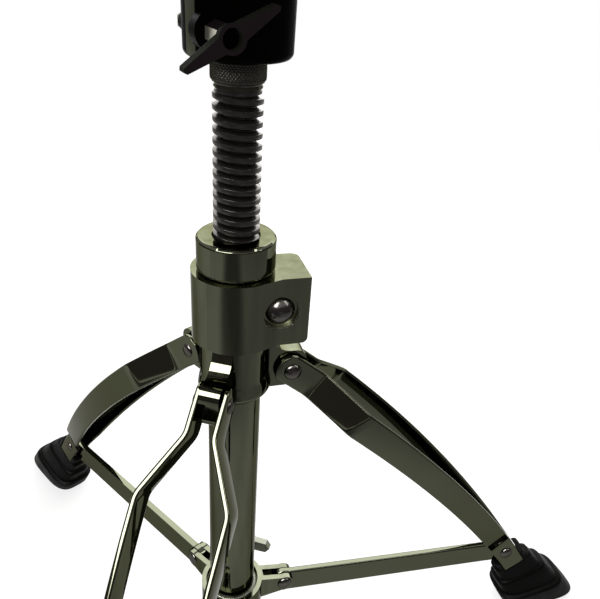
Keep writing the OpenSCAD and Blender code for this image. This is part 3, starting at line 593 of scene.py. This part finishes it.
# Painted light: the downward faces at the nut's foot, in the gap's shade, get the brighter zinc
# finish.
refinish(softened["lock_nut"], ZINC, lambda face: (
    face.normal.z < NUT_TILT and face.center.z < nut_low + NUT_FOOT))
print("softened:", ", ".join(softened))

# %% [markdown]
# ## The sweep from the collar to its tongues
# Each tongue leaves the collar in a wide hollow curve, and that curve is what shines. It is an arc
# between the collar's wall and the tongue's flat top, drawn out to the tongue's width.

# %% Sweeps on the collar
SWEEP_R, SWEEP_HALF, SWEEP_STEPS = 12.0 * MM, 5.28 * MM, 24
COLLAR_R, TONGUE_RISE, SWEEP_SINK = 18.3 * MM, 11.5 * MM, 0.3 * MM
pivot_low, pivot_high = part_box("leg_1_pivot_rivets")
top_pin = Vector(((pivot_low.x + pivot_high.x) / 2, 0, (pivot_low.z + pivot_high.z) / 2))
tongue_top = top_pin.z + TONGUE_RISE
sweep_outline = [(COLLAR_R - SWEEP_SINK, tongue_top - SWEEP_SINK),
                 (COLLAR_R - SWEEP_SINK, tongue_top + SWEEP_R)]
for k in range(SWEEP_STEPS + 1):
    a = radians(90 * k / SWEEP_STEPS)
    sweep_outline.append((COLLAR_R + SWEEP_R * (1 - cos(a)),
                          tongue_top + SWEEP_R * (1 - sin(a))))
sweep_outline.append((COLLAR_R + SWEEP_R, tongue_top - SWEEP_SINK))


def leg_spin(leg):
    """The turn about the column from leg 1 to another leg."""
    return Matrix.Rotation(LEG_STEP * (leg - 1), 4, "Z")


def wrap(form, rings, caps=True):
    """Faces from ring to ring of points and over both ends, merged and turned outwards."""
    for here, there in zip(rings, rings[1:]):
        for k in range(len(here)):
            j = (k + 1) % len(here)
            form.faces.new((here[k], here[j], there[j], there[k]))
    if caps:
        form.faces.new(rings[0])
        form.faces.new(rings[-1])
    bmesh.ops.remove_doubles(form, verts=form.verts, dist=MERGE)
    bmesh.ops.recalc_face_normals(form, faces=form.faces)


def sweep_mesh(name):
    """The three sweeps as one mesh."""
    form = bmesh.new()
    for leg in LEGS:
        wrap(form, [[form.verts.new(leg_spin(leg) @ Vector((reach, side, height)))
                     for reach, height in sweep_outline] for side in (-SWEEP_HALF, SWEEP_HALF)])
    return mesh_from(form, name, SHARP)


place_piece("collar_sweeps", sweep_mesh("collar_sweeps"), "leg_collar", CHROME, replaced=[])
print("sweeps:", len(LEGS), "of radius", round(SWEEP_R / MM), "mm")

# %% [markdown]
# ## The rings in the lower hub
# Where the tube drops into the lower hub, a small stack of rings fills the gap round it. Their pale
# finish is painted reflection: it brings bright bands into a gap that the hub's ring would leave in
# shade. The stack is turned on the lathe from a stepped outline, is pressed into the hub's bore
# above the screw's tip and slides with the hub.

# %% Rings in the lower hub
TURN_SIDES = 96
LIP_STEPS = ((1.8, 17.05), (2.3, 17.05), (2.5, 16.3), (3.4, 16.3), (3.6, 15.6), (4.5, 15.6),
             (4.7, 15.0), (5.3, 15.0))
LIP_BORE = 14.5 * MM


def lathe(name, outline, sides, place=Matrix()):
    """A turned piece from a closed outline of (radius, height) points, about Z or at a place."""
    form = bmesh.new()
    turns = [2 * pi * k / sides for k in range(sides)]
    rings = [[form.verts.new((radius * cos(a), radius * sin(a), height)) for a in turns]
             for radius, height in outline]
    wrap(form, rings + rings[:1], caps=False)
    bmesh.ops.transform(form, matrix=place, verts=form.verts)
    return mesh_from(form, name, SHARP)


def stepped_sleeve(name, steps, foot, foot_bore, top_bore):
    """A turned sleeve from steps of (height, radius) in millimetres above its foot."""
    outline = [(radius * MM, foot + height * MM) for height, radius in steps]
    return lathe(name, outline + [(top_bore, outline[-1][1]), (foot_bore, outline[0][1])],
                 TURN_SIDES)


lip_mesh = stepped_sleeve("hub_rings", LIP_STEPS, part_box("hub_liner")[1].z, LIP_BORE, LIP_BORE)
# Painted reflection: the rings' pale finish brings bright bands into the shaded gap.
place_piece("hub_rings", lip_mesh, "lower_hub", PALE, replaced=[])
print("hub rings:", len(LIP_STEPS) // 2, "steps")

# %% [markdown]
# ## The spindle's neck
# Between the thread and the knurl the spindle has a few turned rings. They are one more outline for
# the lathe, a stepped sleeve that sits on the neck. It takes the thread's finish, like the spindle
# itself, and one of its rings is brighter.

# %% Neck rings
NECK_STEPS = ((0.0, 10.2), (1.3, 10.2), (1.5, 9.95), (2.0, 9.95), (2.2, 10.5), (3.4, 10.5),
              (3.6, 10.25), (4.1, 10.25), (4.3, 11.0), (5.4, 11.0), (5.6, 10.9), (6.0, 10.9),
              (6.2, 11.4), (6.55, 11.4))
NECK_SKIN, NECK_DROP = 1.2 * MM, 6.6 * MM
LIGHT_RING = (2.3, 3.3)
neck_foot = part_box("knurled_collar")[0].z - NECK_DROP
neck_mesh = stepped_sleeve("neck_rings", NECK_STEPS, neck_foot, NECK_STEPS[0][1] * MM - NECK_SKIN,
                           NECK_STEPS[-1][1] * MM - NECK_SKIN)
neck = place_piece("neck_rings", neck_mesh, "spindle", THREAD, replaced=[])
refinish(neck, CHROME, lambda face: (
    LIGHT_RING[0] < (face.center.z - neck_foot) / MM < LIGHT_RING[1]))
print("neck:", len(NECK_STEPS) // 2, "steps")

# %% [markdown]
# ## The lock bolt
# The bolt's head is a polished dome, and a polished dome shows every flat in its mesh. It is turned
# from an outline instead: an arc for the dome, then the shank. The wall of the bolt's recess in the
# clamp block, which would mirror the dark dome, gets a bright finish as a painted highlight, and is
# found by its distance from the bolt's axis.

# %% Lock bolt
DOME_H = 4.6 * MM
SHANK_R = 4.0 * MM
DOME_STEPS, BOLT_SIDES = 16, 64
RECESS_R, RECESS_BAND, RECESS_TILT = 9.3 * MM, 0.6 * MM, 0.8
bolt_low, bolt_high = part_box("lock_bolt")
dome_r = (bolt_high.x - bolt_low.x) / 2
ball_r = (dome_r ** 2 + DOME_H ** 2) / (2 * DOME_H)
dome_turns = [asin(dome_r / ball_r) * k / DOME_STEPS for k in range(DOME_STEPS + 1)]
dome = [(ball_r * sin(a), ball_r * (1 - cos(a))) for a in dome_turns]
bolt_len = bolt_high.y - bolt_low.y
bolt_place = (
    Matrix.Translation((bolt_low.x + dome_r, bolt_low.y, (bolt_low.z + bolt_high.z) / 2))
    @ Matrix.Rotation(radians(-90), 4, "X"))
bolt_mesh = lathe("lock_bolt_finished", dome + [
    (SHANK_R, DOME_H), (SHANK_R, bolt_len), (0, bolt_len)], BOLT_SIDES, bolt_place)
place_piece("lock_bolt_finished", bolt_mesh, "lock_bolt", SATIN)
recess_mid = Vector(joints["lock_wing_turn"]["pos_m"]).xz
# Painted highlight: the recess wall round the dome gets the bright zinc finish.
refinish(softened["clamp_block"], ZINC, lambda face: (
    face.center.y < 0 and abs(face.normal.y) < RECESS_TILT
    and abs((face.center.xz - recess_mid).length - RECESS_R) < RECESS_BAND))
print("lock bolt: dome", round(2 * dome_r / MM, 1), "mm across")

# %% [markdown]
# ## The seat clamp and its wing bolt
# The clamp is a black casting with one bare machined jaw face, and its bolt is black with a bare
# neck. Both keep their solid's shape, so the softened copies are enough, and more finishes go on
# the faces that differ: the jaw looks along the bolt, and the bare neck lies close round the bolt's
# axis, though its upward faces keep the dark enamel as painted shade. The wing's sides have a raw
# cast finish, made paler than its front as painted light, and the small dimple in its hub gets the
# black paint as painted shade.

# %% Bare and dark faces of the seat clamp and wing bolt
BOLT_JOINT = joints["wing_bolt_turn"]
bolt_axis = Vector(BOLT_JOINT["axis"])
bolt_point = Vector(BOLT_JOINT["pos_m"])
JAW_FACE, JAW_BAND, JAW_AIM = 1.6 * MM, 0.5 * MM, 0.99
NECK_FROM, NECK_TO, NECK_R, NECK_TILT = 17.0 * MM, 31.8 * MM, 4.6 * MM, 0.5
SIDE_AIM = 0.7
DIMPLE_R, DIMPLE_FLOOR, DIMPLE_AIM = 3.5 * MM, 36.5 * MM, 0.9


def along_bolt(point):
    """Distance along the wing bolt from its joint."""
    return (point - bolt_point).dot(bolt_axis)


def off_bolt(point):
    """Distance from the wing bolt's axis."""
    return ((point - bolt_point) - along_bolt(point) * bolt_axis).length


refinish(softened["seat_clamp"], BARE, lambda face: (
    face.normal.dot(bolt_axis) > JAW_AIM and abs(along_bolt(face.center) - JAW_FACE) < JAW_BAND))
wing = softened["wing_bolt"]
# Painted shade: the neck's upward faces are left out and keep the dark enamel.
refinish(wing, ZINC, lambda face: (
    off_bolt(face.center) < NECK_R and NECK_FROM < along_bolt(face.center) < NECK_TO
    and face.normal.z < NECK_TILT))
# The sides' raw cast finish is real, and its paler tone is painted light.
refinish(wing, WING_SIDE, lambda face: (
    abs(face.normal.dot(bolt_axis)) < SIDE_AIM and along_bolt(face.center) > NECK_TO))
# Painted shade: the dimple in the wing's hub gets the black paint.
refinish(wing, PAINT, lambda face: (
    off_bolt(face.center) < DIMPLE_R and face.normal.dot(bolt_axis) > DIMPLE_AIM
    and NECK_TO < along_bolt(face.center) < DIMPLE_FLOOR))

# %% [markdown]
# ## The rolled thread
# A thread is a small profile carried along a spiral, which is what a curve and Curve to Mesh do in
# Geometry Nodes: a Spiral for the path, a Trapezoid with filleted corners for the ridge, and the
# number of turns, pitch and depth as named inputs.

# %% Geometry Nodes helpers
def geometry_tree(name, values, takes_mesh=False):
    """An empty Geometry Nodes tree with an input for each named value, and its group input."""
    tree = bpy.data.node_groups.new(name, "GeometryNodeTree")
    tree.interface.new_socket("Geometry", in_out="OUTPUT", socket_type="NodeSocketGeometry")
    if takes_mesh:
        tree.interface.new_socket("Geometry", in_out="INPUT", socket_type="NodeSocketGeometry")
    kinds = {float: "NodeSocketFloat", int: "NodeSocketInt",
             bpy.types.Material: "NodeSocketMaterial"}
    for label, value in values.items():
        tree.interface.new_socket(label, in_out="INPUT", socket_type=kinds[type(value)])
    return tree, add_node(tree, "NodeGroupInput").outputs


def shifted(tree, geometry, **inputs):
    """The output of one Transform Geometry node."""
    return add_node(tree, "GeometryNodeTransform", {"Geometry": geometry, **inputs}).outputs[0]


def closed_tree(tree, geometry, given):
    """The tree with its end: instances made real, then the finish."""
    whole = add_node(tree, "GeometryNodeRealizeInstances", {"Geometry": geometry})
    coated = add_node(tree, "GeometryNodeSetMaterial", {
        "Geometry": whole, "Material": given["Finish"]})
    add_node(tree, "NodeGroupOutput", {"Geometry": coated})
    return tree


def grown(name, tree, values, base=None):
    """The plain mesh that a tree makes, from nothing or from a base mesh."""
    holder = linked(name, base or bpy.data.meshes.new(name))
    modifier = holder.modifiers.new("nodes", "NODES")
    modifier.node_group = tree
    for item in tree.interface.items_tree:
        if item.in_out == "INPUT" and item.name in values:
            modifier[item.identifier] = values[item.name]
    return baked(holder)


# %% Thread
PITCH = 4.9 * MM
THREAD_R = 11.1 * MM
THREAD_DEPTH = 3.0 * MM
THREAD_SINK = 0.25 * MM
RIDGE_BASE, RIDGE_CREST = 1.0, 0.44
RIDGE_ROUND, ROUND_POINTS = 0.14 * MM, 3
RIDGE_FADE, RIDGE_LEAST = 0.25, 0.02
TURN_POINTS = 72
CREST_SHARP = radians(12)
START_RISE, END_DROP = 0.36, 0.32
THREAD_START = radians(52)
thread_low, thread_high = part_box("spindle_thread")
thread_turns = (thread_high.z - thread_low.z) / PITCH - END_DROP


def thread_tree(values):
    """A ridge carried along a spiral, fading out at both ends."""
    tree, given = geometry_tree("spindle_ridge", values)
    path = add_node(tree, "GeometryNodeCurveSpiral", {
        "Resolution": TURN_POINTS, "Rotations": given["Turns"], "Start Radius": given["Radius"],
        "End Radius": given["Radius"],
        "Height": calc(tree, "MULTIPLY", given["Turns"], given["Pitch"])})
    upright = add_node(tree, "GeometryNodeSetCurveNormal", {"Curve": path}, mode="Z_UP")
    done = add_node(tree, "GeometryNodeSplineParameter").outputs["Factor"]
    nearer = calc(tree, "MINIMUM", done, calc(tree, "SUBTRACT", 1.0, done))
    growth = calc(tree, "DIVIDE", calc(tree, "MULTIPLY", nearer, given["Turns"]), given["Fade"])
    size = calc(tree, "MAXIMUM", calc(tree, "MINIMUM", growth, 1.0), RIDGE_LEAST)
    faded = add_node(tree, "GeometryNodeSetCurveRadius", {
        "Curve": upright, "Radius": size})
    ridge = add_node(tree, "GeometryNodeCurvePrimitiveQuadrilateral", {
        "Height": given["Depth"], "Bottom Width": given["Base Width"],
        "Top Width": given["Crest Width"], "Offset": 0.0}, mode="TRAPEZOID")
    soft = add_node(tree, "GeometryNodeFilletCurve", {
        "Curve": ridge, "Count": ROUND_POINTS, "Radius": given["Rounding"],
        "Limit Radius": True}, mode="POLY")
    raised = shifted(tree, soft, Translation=xyz(
        tree, Y=calc(tree, "MULTIPLY", given["Depth"], 0.5)))
    turned = shifted(tree, raised, Rotation=(0, 0, radians(90)))
    swept = add_node(tree, "GeometryNodeCurveToMesh", {
        "Curve": faded, "Profile Curve": turned, "Fill Caps": True})
    moved = shifted(tree, swept, Translation=xyz(tree, Z=given["Bottom"]),
                    Rotation=xyz(tree, Z=given["Start"]))
    smooth = add_node(tree, "GeometryNodeSetShadeSmooth", {"Geometry": moved})
    return closed_tree(tree, smooth, given)


thread_values = {
    "Turns": thread_turns, "Pitch": PITCH, "Radius": THREAD_R - THREAD_DEPTH - THREAD_SINK,
    "Depth": THREAD_DEPTH + THREAD_SINK, "Base Width": RIDGE_BASE * PITCH,
    "Crest Width": RIDGE_CREST * PITCH, "Rounding": RIDGE_ROUND, "Fade": RIDGE_FADE,
    "Start": THREAD_START, "Bottom": thread_low.z + START_RISE * PITCH, "Finish": THREAD}
thread_mesh = grown("thread_ridge", thread_tree(thread_values), thread_values)
thread_mesh.set_sharp_from_angle(angle=CREST_SHARP)
place_piece("thread_ridge", thread_mesh, "spindle_thread")
print("thread:", round(thread_turns, 2), "turns,", len(thread_mesh.polygons), "faces")

# %% [markdown]
# ## The knurled collar
# A knurl is two sets of grooves that cross and leave rows of small diamonds. The collar is turned
# first, as rings of points, and a tree then pushes in its side wall by a pattern of two waves that
# cross at a slant. The depth, the count round the collar and the row height are inputs.

# %% Knurled collar
KNURL_ROUND, KNURL_ROUND_STEP = 1.9 * MM, 15
KNURL_TRIM, KNURL_TOP_TRIM = 0.6 * MM, 0.1 * MM
KNURL_SKIRT = 2.2 * MM
KNURL_DEPTH = 0.3 * MM
KNURL_COUNT = 48
KNURL_ROW = 0.9 * MM
KNURL_BORE, SIDE_SLACK = 11.13 * MM, 0.1 * MM
DIAMOND_POINTS, SIDE_RINGS = 6, 64


def knurl_tree(values):
    """Crossed grooves pressed into the side of a turned ring."""
    tree, given = geometry_tree("diamond_knurl", values, takes_mesh=True)
    place = add_node(tree, "ShaderNodeSeparateXYZ", {
        0: add_node(tree, "GeometryNodeInputPosition")}).outputs
    around = calc(tree, "MULTIPLY", calc(tree, "ARCTAN2", place["Y"], place["X"]), given["Count"])
    rise = calc(tree, "MULTIPLY", calc(tree, "DIVIDE", place["Z"], given["Row"]), pi)
    groove = calc(tree, "MAXIMUM", calc(tree, "COSINE", calc(tree, "ADD", around, rise)),
                  calc(tree, "COSINE", calc(tree, "SUBTRACT", around, rise)))
    flat = xyz(tree, X=place["X"], Y=place["Y"])
    reach = measure(tree, "LENGTH", flat)
    edge = calc(tree, "SUBTRACT", given["Radius"], SIDE_SLACK)
    above = calc(tree, "GREATER_THAN", place["Z"], given["Low"])
    below = calc(tree, "LESS_THAN", place["Z"], given["High"])
    where = calc(tree, "MULTIPLY", calc(tree, "GREATER_THAN", reach, edge),
                 calc(tree, "MULTIPLY", above, below))
    share = calc(tree, "MULTIPLY", calc(tree, "ADD", groove, 1.0), 0.5)
    push = calc(tree, "MULTIPLY", calc(tree, "MULTIPLY", share, given["Depth"]), where)
    shrink = calc(tree, "DIVIDE", push, calc(tree, "MULTIPLY", reach, -1.0))
    inward = add_node(tree, "ShaderNodeVectorMath", {0: flat, "Scale": shrink}, operation="SCALE")
    pressed = add_node(tree, "GeometryNodeSetPosition", {
        "Geometry": given["Geometry"], "Offset": inward})
    return closed_tree(tree, pressed, given)


ring_low, ring_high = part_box("knurled_collar")
ring_r, ring_foot, ring_top = ring_high.x, ring_low.z - KNURL_SKIRT, ring_high.z
wall_low = ring_foot + KNURL_ROUND
round_turns = [radians(a) for a in range(0, 91, KNURL_ROUND_STEP)]
turn_in = [(ring_r - KNURL_ROUND + KNURL_ROUND * sin(a),
            wall_low - KNURL_ROUND * cos(a)) for a in round_turns]
wall = [(ring_r, wall_low + (ring_top - wall_low) * k / SIDE_RINGS) for k in range(1, SIDE_RINGS)]
ring_mesh = lathe("knurled_ring", [(KNURL_BORE, ring_foot)] + turn_in + wall + [
    (ring_r, ring_top), (KNURL_BORE, ring_top)], KNURL_COUNT * DIAMOND_POINTS)
knurl_values = {
    "Radius": ring_r, "Low": wall_low - KNURL_TRIM, "High": ring_top - KNURL_TOP_TRIM,
    "Depth": KNURL_DEPTH, "Count": float(KNURL_COUNT), "Row": KNURL_ROW, "Finish": KNURL}
ring_mesh = grown("knurled_ring", knurl_tree(knurl_values), knurl_values, ring_mesh)
place_piece("knurled_ring", ring_mesh, "knurled_collar")
print("knurl:", KNURL_COUNT, "diamonds round,", len(ring_mesh.polygons), "faces")

# %% [markdown]
# ## The leg straps
# Each leg is a pair of flat straps. A strap is arched in the leg's plane and bent sideways:
# straight by the collar, spread out to the widest place, then drawn in to the foot. The bends of a
# real strap are soft, so the sideways path is a short list of points that is averaged over a small
# window. The section is a rectangle with rounded corners, carried from end to end.

# %% Leg straps
STRAP_H = 17.4 * MM
STRAP_T = 3.0 * MM
STRAP_ROUND, ROUND_OF_T, ROUND_OF_H = 1.15 * MM, 0.9, 0.45
STRAP_TAIL = 22.0 * MM
STRAP_END_R, END_TRIM = 9.7 * MM, 0.02 * MM
STRAP_IN = 5.55 * MM
LEG_ARCH = 9.3 * MM
SPLAY_START, SPLAY_RUN, SPLAY_HALF = 17.6 * MM, 31.0 * MM, 24.2 * MM
PINCH_RUN, FOOT_HALF, STRAP_BOW = 14.0 * MM, 6.5 * MM, 2.6 * MM
JOGGLE, JOGGLE_RUN = 5.4 * MM, 17.0 * MM
BEND_WINDOW, BEND_STEPS, SLOPE_STEP = 5.0 * MM, 12, 0.1 * MM
STRAP_STATIONS, CORNER_STEPS = 220, 5
STRAP_SHARP = radians(40)

foot_pin = Vector(joints["leg_1_fold"]["pos_m"])
leg_line = foot_pin - top_pin
LEG_LEN = leg_line.length
along_leg = leg_line.normalized()
out_of_leg = Vector((-along_leg.z, 0, along_leg.x))
ARC_R = (LEG_LEN ** 2 / 4 + LEG_ARCH ** 2) / (2 * LEG_ARCH)


def side_reach(u):
    """Distance of the strap's middle from the leg's plane, before the bends are softened."""
    spread, pinch = SPLAY_START + SPLAY_RUN, LEG_LEN - PINCH_RUN
    near, wide, foot = (edge - STRAP_T / 2 for edge in (STRAP_IN + STRAP_T, SPLAY_HALF, FOOT_HALF))
    step = pinch - JOGGLE_RUN
    if u <= SPLAY_START:
        return near
    if u <= spread:
        return near + (wide - near) * (u - SPLAY_START) / SPLAY_RUN
    if u <= step:
        share = (u - spread) / (step - spread)
        return wide + (foot + JOGGLE - wide) * share + 4 * STRAP_BOW * share * (1 - share)
    if u <= pinch:
        return foot + JOGGLE * (pinch - u) / JOGGLE_RUN
    return foot


def soft_reach(u):
    """The same path averaged over a small window, so that its bends are round."""
    shares = [k / BEND_STEPS - 0.5 for k in range(BEND_STEPS + 1)]
    return sum(side_reach(u + BEND_WINDOW * share) for share in shares) / len(shares)


def strap_heights(u):
    """Lower and upper edge of the strap at u, with the round end by the collar."""
    def arc(radius):
        return LEG_ARCH - ARC_R + sqrt(radius ** 2 - (u - LEG_LEN / 2) ** 2)
    low, high = arc(ARC_R - STRAP_H / 2), arc(ARC_R + STRAP_H / 2)
    if u < 0:
        cap = sqrt(max(STRAP_END_R ** 2 - u ** 2, 0))
        low, high = max(low, -cap), min(high, cap)
    return low, high


def strap_section(half_t, low, high):
    """Points of a rounded rectangle as (sideways, height)."""
    r = min(STRAP_ROUND, half_t * ROUND_OF_T, (high - low) * ROUND_OF_H)
    corners = [(half_t - r, high - r, 0), (-half_t + r, high - r, 90),
               (-half_t + r, low + r, 180), (half_t - r, low + r, 270)]
    points = []
    for x, z, start in corners:
        for k in range(CORNER_STEPS + 1):
            a = radians(start + 90 * k / CORNER_STEPS)
            points.append((x + r * cos(a), z + r * sin(a)))
    return points


def strap_mesh(name, leg, side):
    """One strap of a leg, swept along its path."""
    form = bmesh.new()
    rings = []
    first, last = -STRAP_END_R + END_TRIM, LEG_LEN + STRAP_TAIL
    for k in range(STRAP_STATIONS + 1):
        u = first + (last - first) * (k / STRAP_STATIONS)
        slope = (soft_reach(u + SLOPE_STEP) - soft_reach(u - SLOPE_STEP)) / (2 * SLOPE_STEP)
        way = Vector((-slope, 1)).normalized()
        ring = []
        for offset, height in strap_section(STRAP_T / 2, *strap_heights(u)):
            point = (top_pin + along_leg * (u + way.x * offset) + out_of_leg * height
                     + Vector((0, side * (soft_reach(u) + way.y * offset), 0)))
            ring.append(form.verts.new(leg_spin(leg) @ point))
        rings.append(ring)
    wrap(form, rings)
    return mesh_from(form, name, STRAP_SHARP)


for leg in LEGS:
    for side_name, side in (("left", 1), ("right", -1)):
        solid = f"leg_{leg}_strap_{side_name}"
        place_piece(solid + "_finished", strap_mesh(solid + "_finished", leg, side), solid, PLATE)
print("straps: leg line", round(LEG_LEN / MM, 1), "mm, arc radius", round(ARC_R / MM), "mm")

# %% [markdown]
# ## Rivets
# A rivet shows only its two heads, and the base has the same rivet again and again. One tree makes
# a pair of low domes a given distance apart, sets the pairs round a ring, and realises them. The
# hub asks for three pairs at once, and each leg asks for one pair at its own angle.

# %% Rivets
HEAD_W, HEAD_H, TAIL_W, TAIL_H = 9.8 * MM, 2.4 * MM, 8.0 * MM, 1.6 * MM
HEAD_SINK, HEAD_SEGMENTS, HEAD_RINGS = 0.15 * MM, 40, 24
EAR_GRIP = 11.6 * MM
RIVET_VALUES = {
    "Count": 1, "First Angle": 0.0, "Step": LEG_STEP, "Ring": 0.0, "Height": 0.0, "Grip": 0.0,
    "Head Width": HEAD_W, "Head Height": HEAD_H, "Tail Width": TAIL_W, "Tail Height": TAIL_H,
    "Finish": SATIN}


def rivet_tree(values):
    """Pairs of rivet heads, set round a ring."""
    tree, given = geometry_tree("rivet_pairs", values)
    half = calc(tree, "SUBTRACT", calc(tree, "DIVIDE", given["Grip"], 2.0), HEAD_SINK)

    def head(width, height, side):
        ball = add_node(tree, "GeometryNodeMeshUVSphere", {
            "Segments": HEAD_SEGMENTS, "Rings": HEAD_RINGS, "Radius": 1.0})
        wide = calc(tree, "DIVIDE", width, 2.0)
        return shifted(tree, ball.outputs["Mesh"],
                       Translation=xyz(tree, Y=calc(tree, "MULTIPLY", half, side)),
                       Scale=xyz(tree, X=wide, Y=calc(tree, "ADD", height, HEAD_SINK), Z=wide))

    pair = add_node(tree, "GeometryNodeJoinGeometry")
    tree.links.new(head(given["Head Width"], given["Head Height"], -1.0), pair.inputs[0])
    tree.links.new(head(given["Tail Width"], given["Tail Height"], 1.0), pair.inputs[0])
    smooth = add_node(tree, "GeometryNodeSetShadeSmooth", {"Geometry": pair})
    index = add_node(tree, "GeometryNodeInputIndex").outputs[0]
    angle = calc(tree, "ADD", calc(tree, "MULTIPLY", index, given["Step"]), given["First Angle"])
    spot = xyz(tree, X=calc(tree, "MULTIPLY", calc(tree, "COSINE", angle), given["Ring"]),
               Y=calc(tree, "MULTIPLY", calc(tree, "SINE", angle), given["Ring"]),
               Z=given["Height"])
    points = add_node(tree, "GeometryNodePoints", {"Count": given["Count"], "Position": spot})
    copies = add_node(tree, "GeometryNodeInstanceOnPoints", {
        "Points": points, "Instance": smooth, "Rotation": xyz(tree, Z=angle)})
    return closed_tree(tree, copies, given)


RIVETS = rivet_tree(RIVET_VALUES)


def rivets(name, replaced, first, pin, grip):
    """Rivet heads on a ring of pins, one pair for each rivet in a list, as one piece."""
    mesh = grown(name, RIVETS, {
        **RIVET_VALUES, "Count": len(replaced), "First Angle": first, "Ring": pin.x,
        "Height": pin.z, "Grip": grip})
    place_piece(name, mesh, replaced[0], replaced=replaced)


hub_pin = Vector(joints["strut_1_fold"]["pos_m"])
rivets("hub_rivet_heads", [f"hub_rivet_{leg}" for leg in LEGS], 0.0, hub_pin, EAR_GRIP)
for leg in LEGS:
    at = LEG_STEP * (leg - 1)
    rivets(f"pivot_rivet_heads_{leg}", [f"leg_{leg}_pivot_rivets"], at, top_pin,
           2 * (STRAP_IN + STRAP_T))
    rivets(f"foot_rivet_heads_{leg}", [f"foot_rivet_{leg}"], at, foot_pin, 2 * FOOT_HALF)
print("rivets:", len(LEGS) * 3, "pairs of heads")

# %% [markdown]
# ## The rubber boots
# A boot grows from a small rim round the straps to a long flat sole, in tiers that step like a
# stack of collars. It is a loft: rounded rectangles turn from square to the straps to flat on the
# floor. Each tier starts with a ledge and falls back to the loft below it. A box then cuts the
# notch in which the straps' ends show.

# %% Boots
BOOT_RIM, BOOT_RIM_H, BOOT_RIM_W = 9.5 * MM, 20.6 * MM, 18.0 * MM
SOLE_L, SOLE_W, SOLE_OUT = 66.0 * MM, 33.0 * MM, 45.4 * MM
BOOT_FLARE, BOOT_SPREAD = 1.2, 0.75
BOOT_WAIST, WAIST_SHARE, WAIST_GROWTH = 6.9 * MM, 0.2, 1.6
BOOT_SQUARE, SOLE_SQUARE = 0.36, 0.6
BOOT_TIERS, TIER_STEP, SOLE_EDGE = 4, 2.4 * MM, 2.4 * MM
TIER_FORM = ((0.0, 0.0), (0.04, 0.7), (0.1, 1.0), (0.16, 1.0), (0.55, 0.55), (0.97, 0.04))
TIER_CROWD = 1.35
BOOT_SIDES = 96
BOOT_WINDOW, NOTCH_GAP = 22.4 * MM, 0.3 * MM
BOOT_SHARP = radians(35)
foot_turn = asin(LEG_LEN / 2 / ARC_R) + atan2(-along_leg.z, along_leg.x)
boot_out = Vector((cos(foot_turn), 0, -sin(foot_turn)))
boot_up = Vector((sin(foot_turn), 0, cos(foot_turn)))
rim_mid = foot_pin + boot_out * BOOT_RIM
sole_mid = Vector((foot_pin.x + SOLE_OUT, 0, 0))


def squared(value, power):
    """A sine or cosine pushed outwards, which squares a circle's corners."""
    return copysign(abs(value) ** power, value)


def boot_ring(share, grow):
    """One rounded rectangle of the loft: 0 is the rim and 1 the sole."""
    middle = rim_mid.lerp(sole_mid, share)
    way = boot_up.lerp(Vector((1, 0, 0)), share).normalized()
    half_l = (BOOT_RIM_H + (SOLE_L - BOOT_RIM_H) * share ** BOOT_FLARE) / 2 + grow
    half_w = (BOOT_RIM_W + (SOLE_W - BOOT_RIM_W) * share ** BOOT_SPREAD) / 2 + grow
    below_waist = max(0.0, share - WAIST_SHARE) / (1 - WAIST_SHARE)
    half_w = BOOT_WAIST + (half_w - BOOT_WAIST) * min(1.0, below_waist * WAIST_GROWTH)
    power = BOOT_SQUARE + (SOLE_SQUARE - BOOT_SQUARE) * share
    ring = []
    for k in range(BOOT_SIDES):
        a = 2 * pi * k / BOOT_SIDES
        point = middle + way * half_l * squared(cos(a), power)
        ring.append(Vector((point.x, half_w * squared(sin(a), power), max(0, point.z))))
    return ring


def boot_mesh(name):
    """The loft through the rings of all tiers, down to the sole's edge."""
    rings = [boot_ring(((tier + part) / BOOT_TIERS) ** TIER_CROWD, TIER_STEP * swell)
             for tier in range(BOOT_TIERS) for part, swell in TIER_FORM]
    rings.append(boot_ring(1.0, -SOLE_EDGE))
    form = bmesh.new()
    wrap(form, [[form.verts.new(point) for point in ring] for ring in rings])
    return mesh_from(form, name)


def notched_boot():
    """The boot along leg 1, with the straps' notch cut by a box that slants as the foot does."""
    high = Vector((BOOT_WINDOW, BOOT_RIM_W, STRAP_H / 2 + NOTCH_GAP))
    low = Vector((-BOOT_RIM_H, -high.y, -high.z))
    foot_frame = Matrix((
        (boot_out.x, 0, boot_up.x, foot_pin.x), (0, 1, 0, 0),
        (boot_out.z, 0, boot_up.z, foot_pin.z), (0, 0, 0, 1)))
    form = bmesh.new()
    bmesh.ops.create_cube(form, size=1, matrix=(
        foot_frame @ Matrix.Translation((high + low) / 2) @ Matrix.Diagonal((*(high - low), 1))))
    cutter = linked("strap_notch", mesh_from(form, "strap_notch"))
    holder = linked("boot_form", boot_mesh("boot_form"))
    cut = holder.modifiers.new("notch", "BOOLEAN")
    cut.object = cutter
    cut.solver = "EXACT"
    mesh = baked(holder)
    bpy.data.objects.remove(cutter)
    mesh.shade_smooth()
    mesh.set_sharp_from_angle(angle=BOOT_SHARP)
    return mesh


boot_form = notched_boot()
for leg in LEGS:
    mesh = boot_form.copy()
    mesh.name = f"boot_{leg}_finished"
    mesh.transform(leg_spin(leg))
    place_piece(mesh.name, mesh, f"boot_{leg}", RUBBER)
print("boots:", len(boot_form.polygons), "faces each")

# %% [markdown]
# ## What stays a solid
# The pieces inside, such as the sleeve, the wedges and the guide bush, hardly show. Their solids
# are right as they are and only need their finish.

# %% Finishes on the other solids
dressed = {node for piece in bpy.data.objects for node in piece.get("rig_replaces", [])}
for node_name, solid in nodes.items():
    if node_name not in dressed:
        solid.data.materials.clear()
        solid.data.materials.append(MATERIAL_OF_SLOT[slot_of[node_name]])
print("left as solids:", sorted(set(nodes) - dressed))
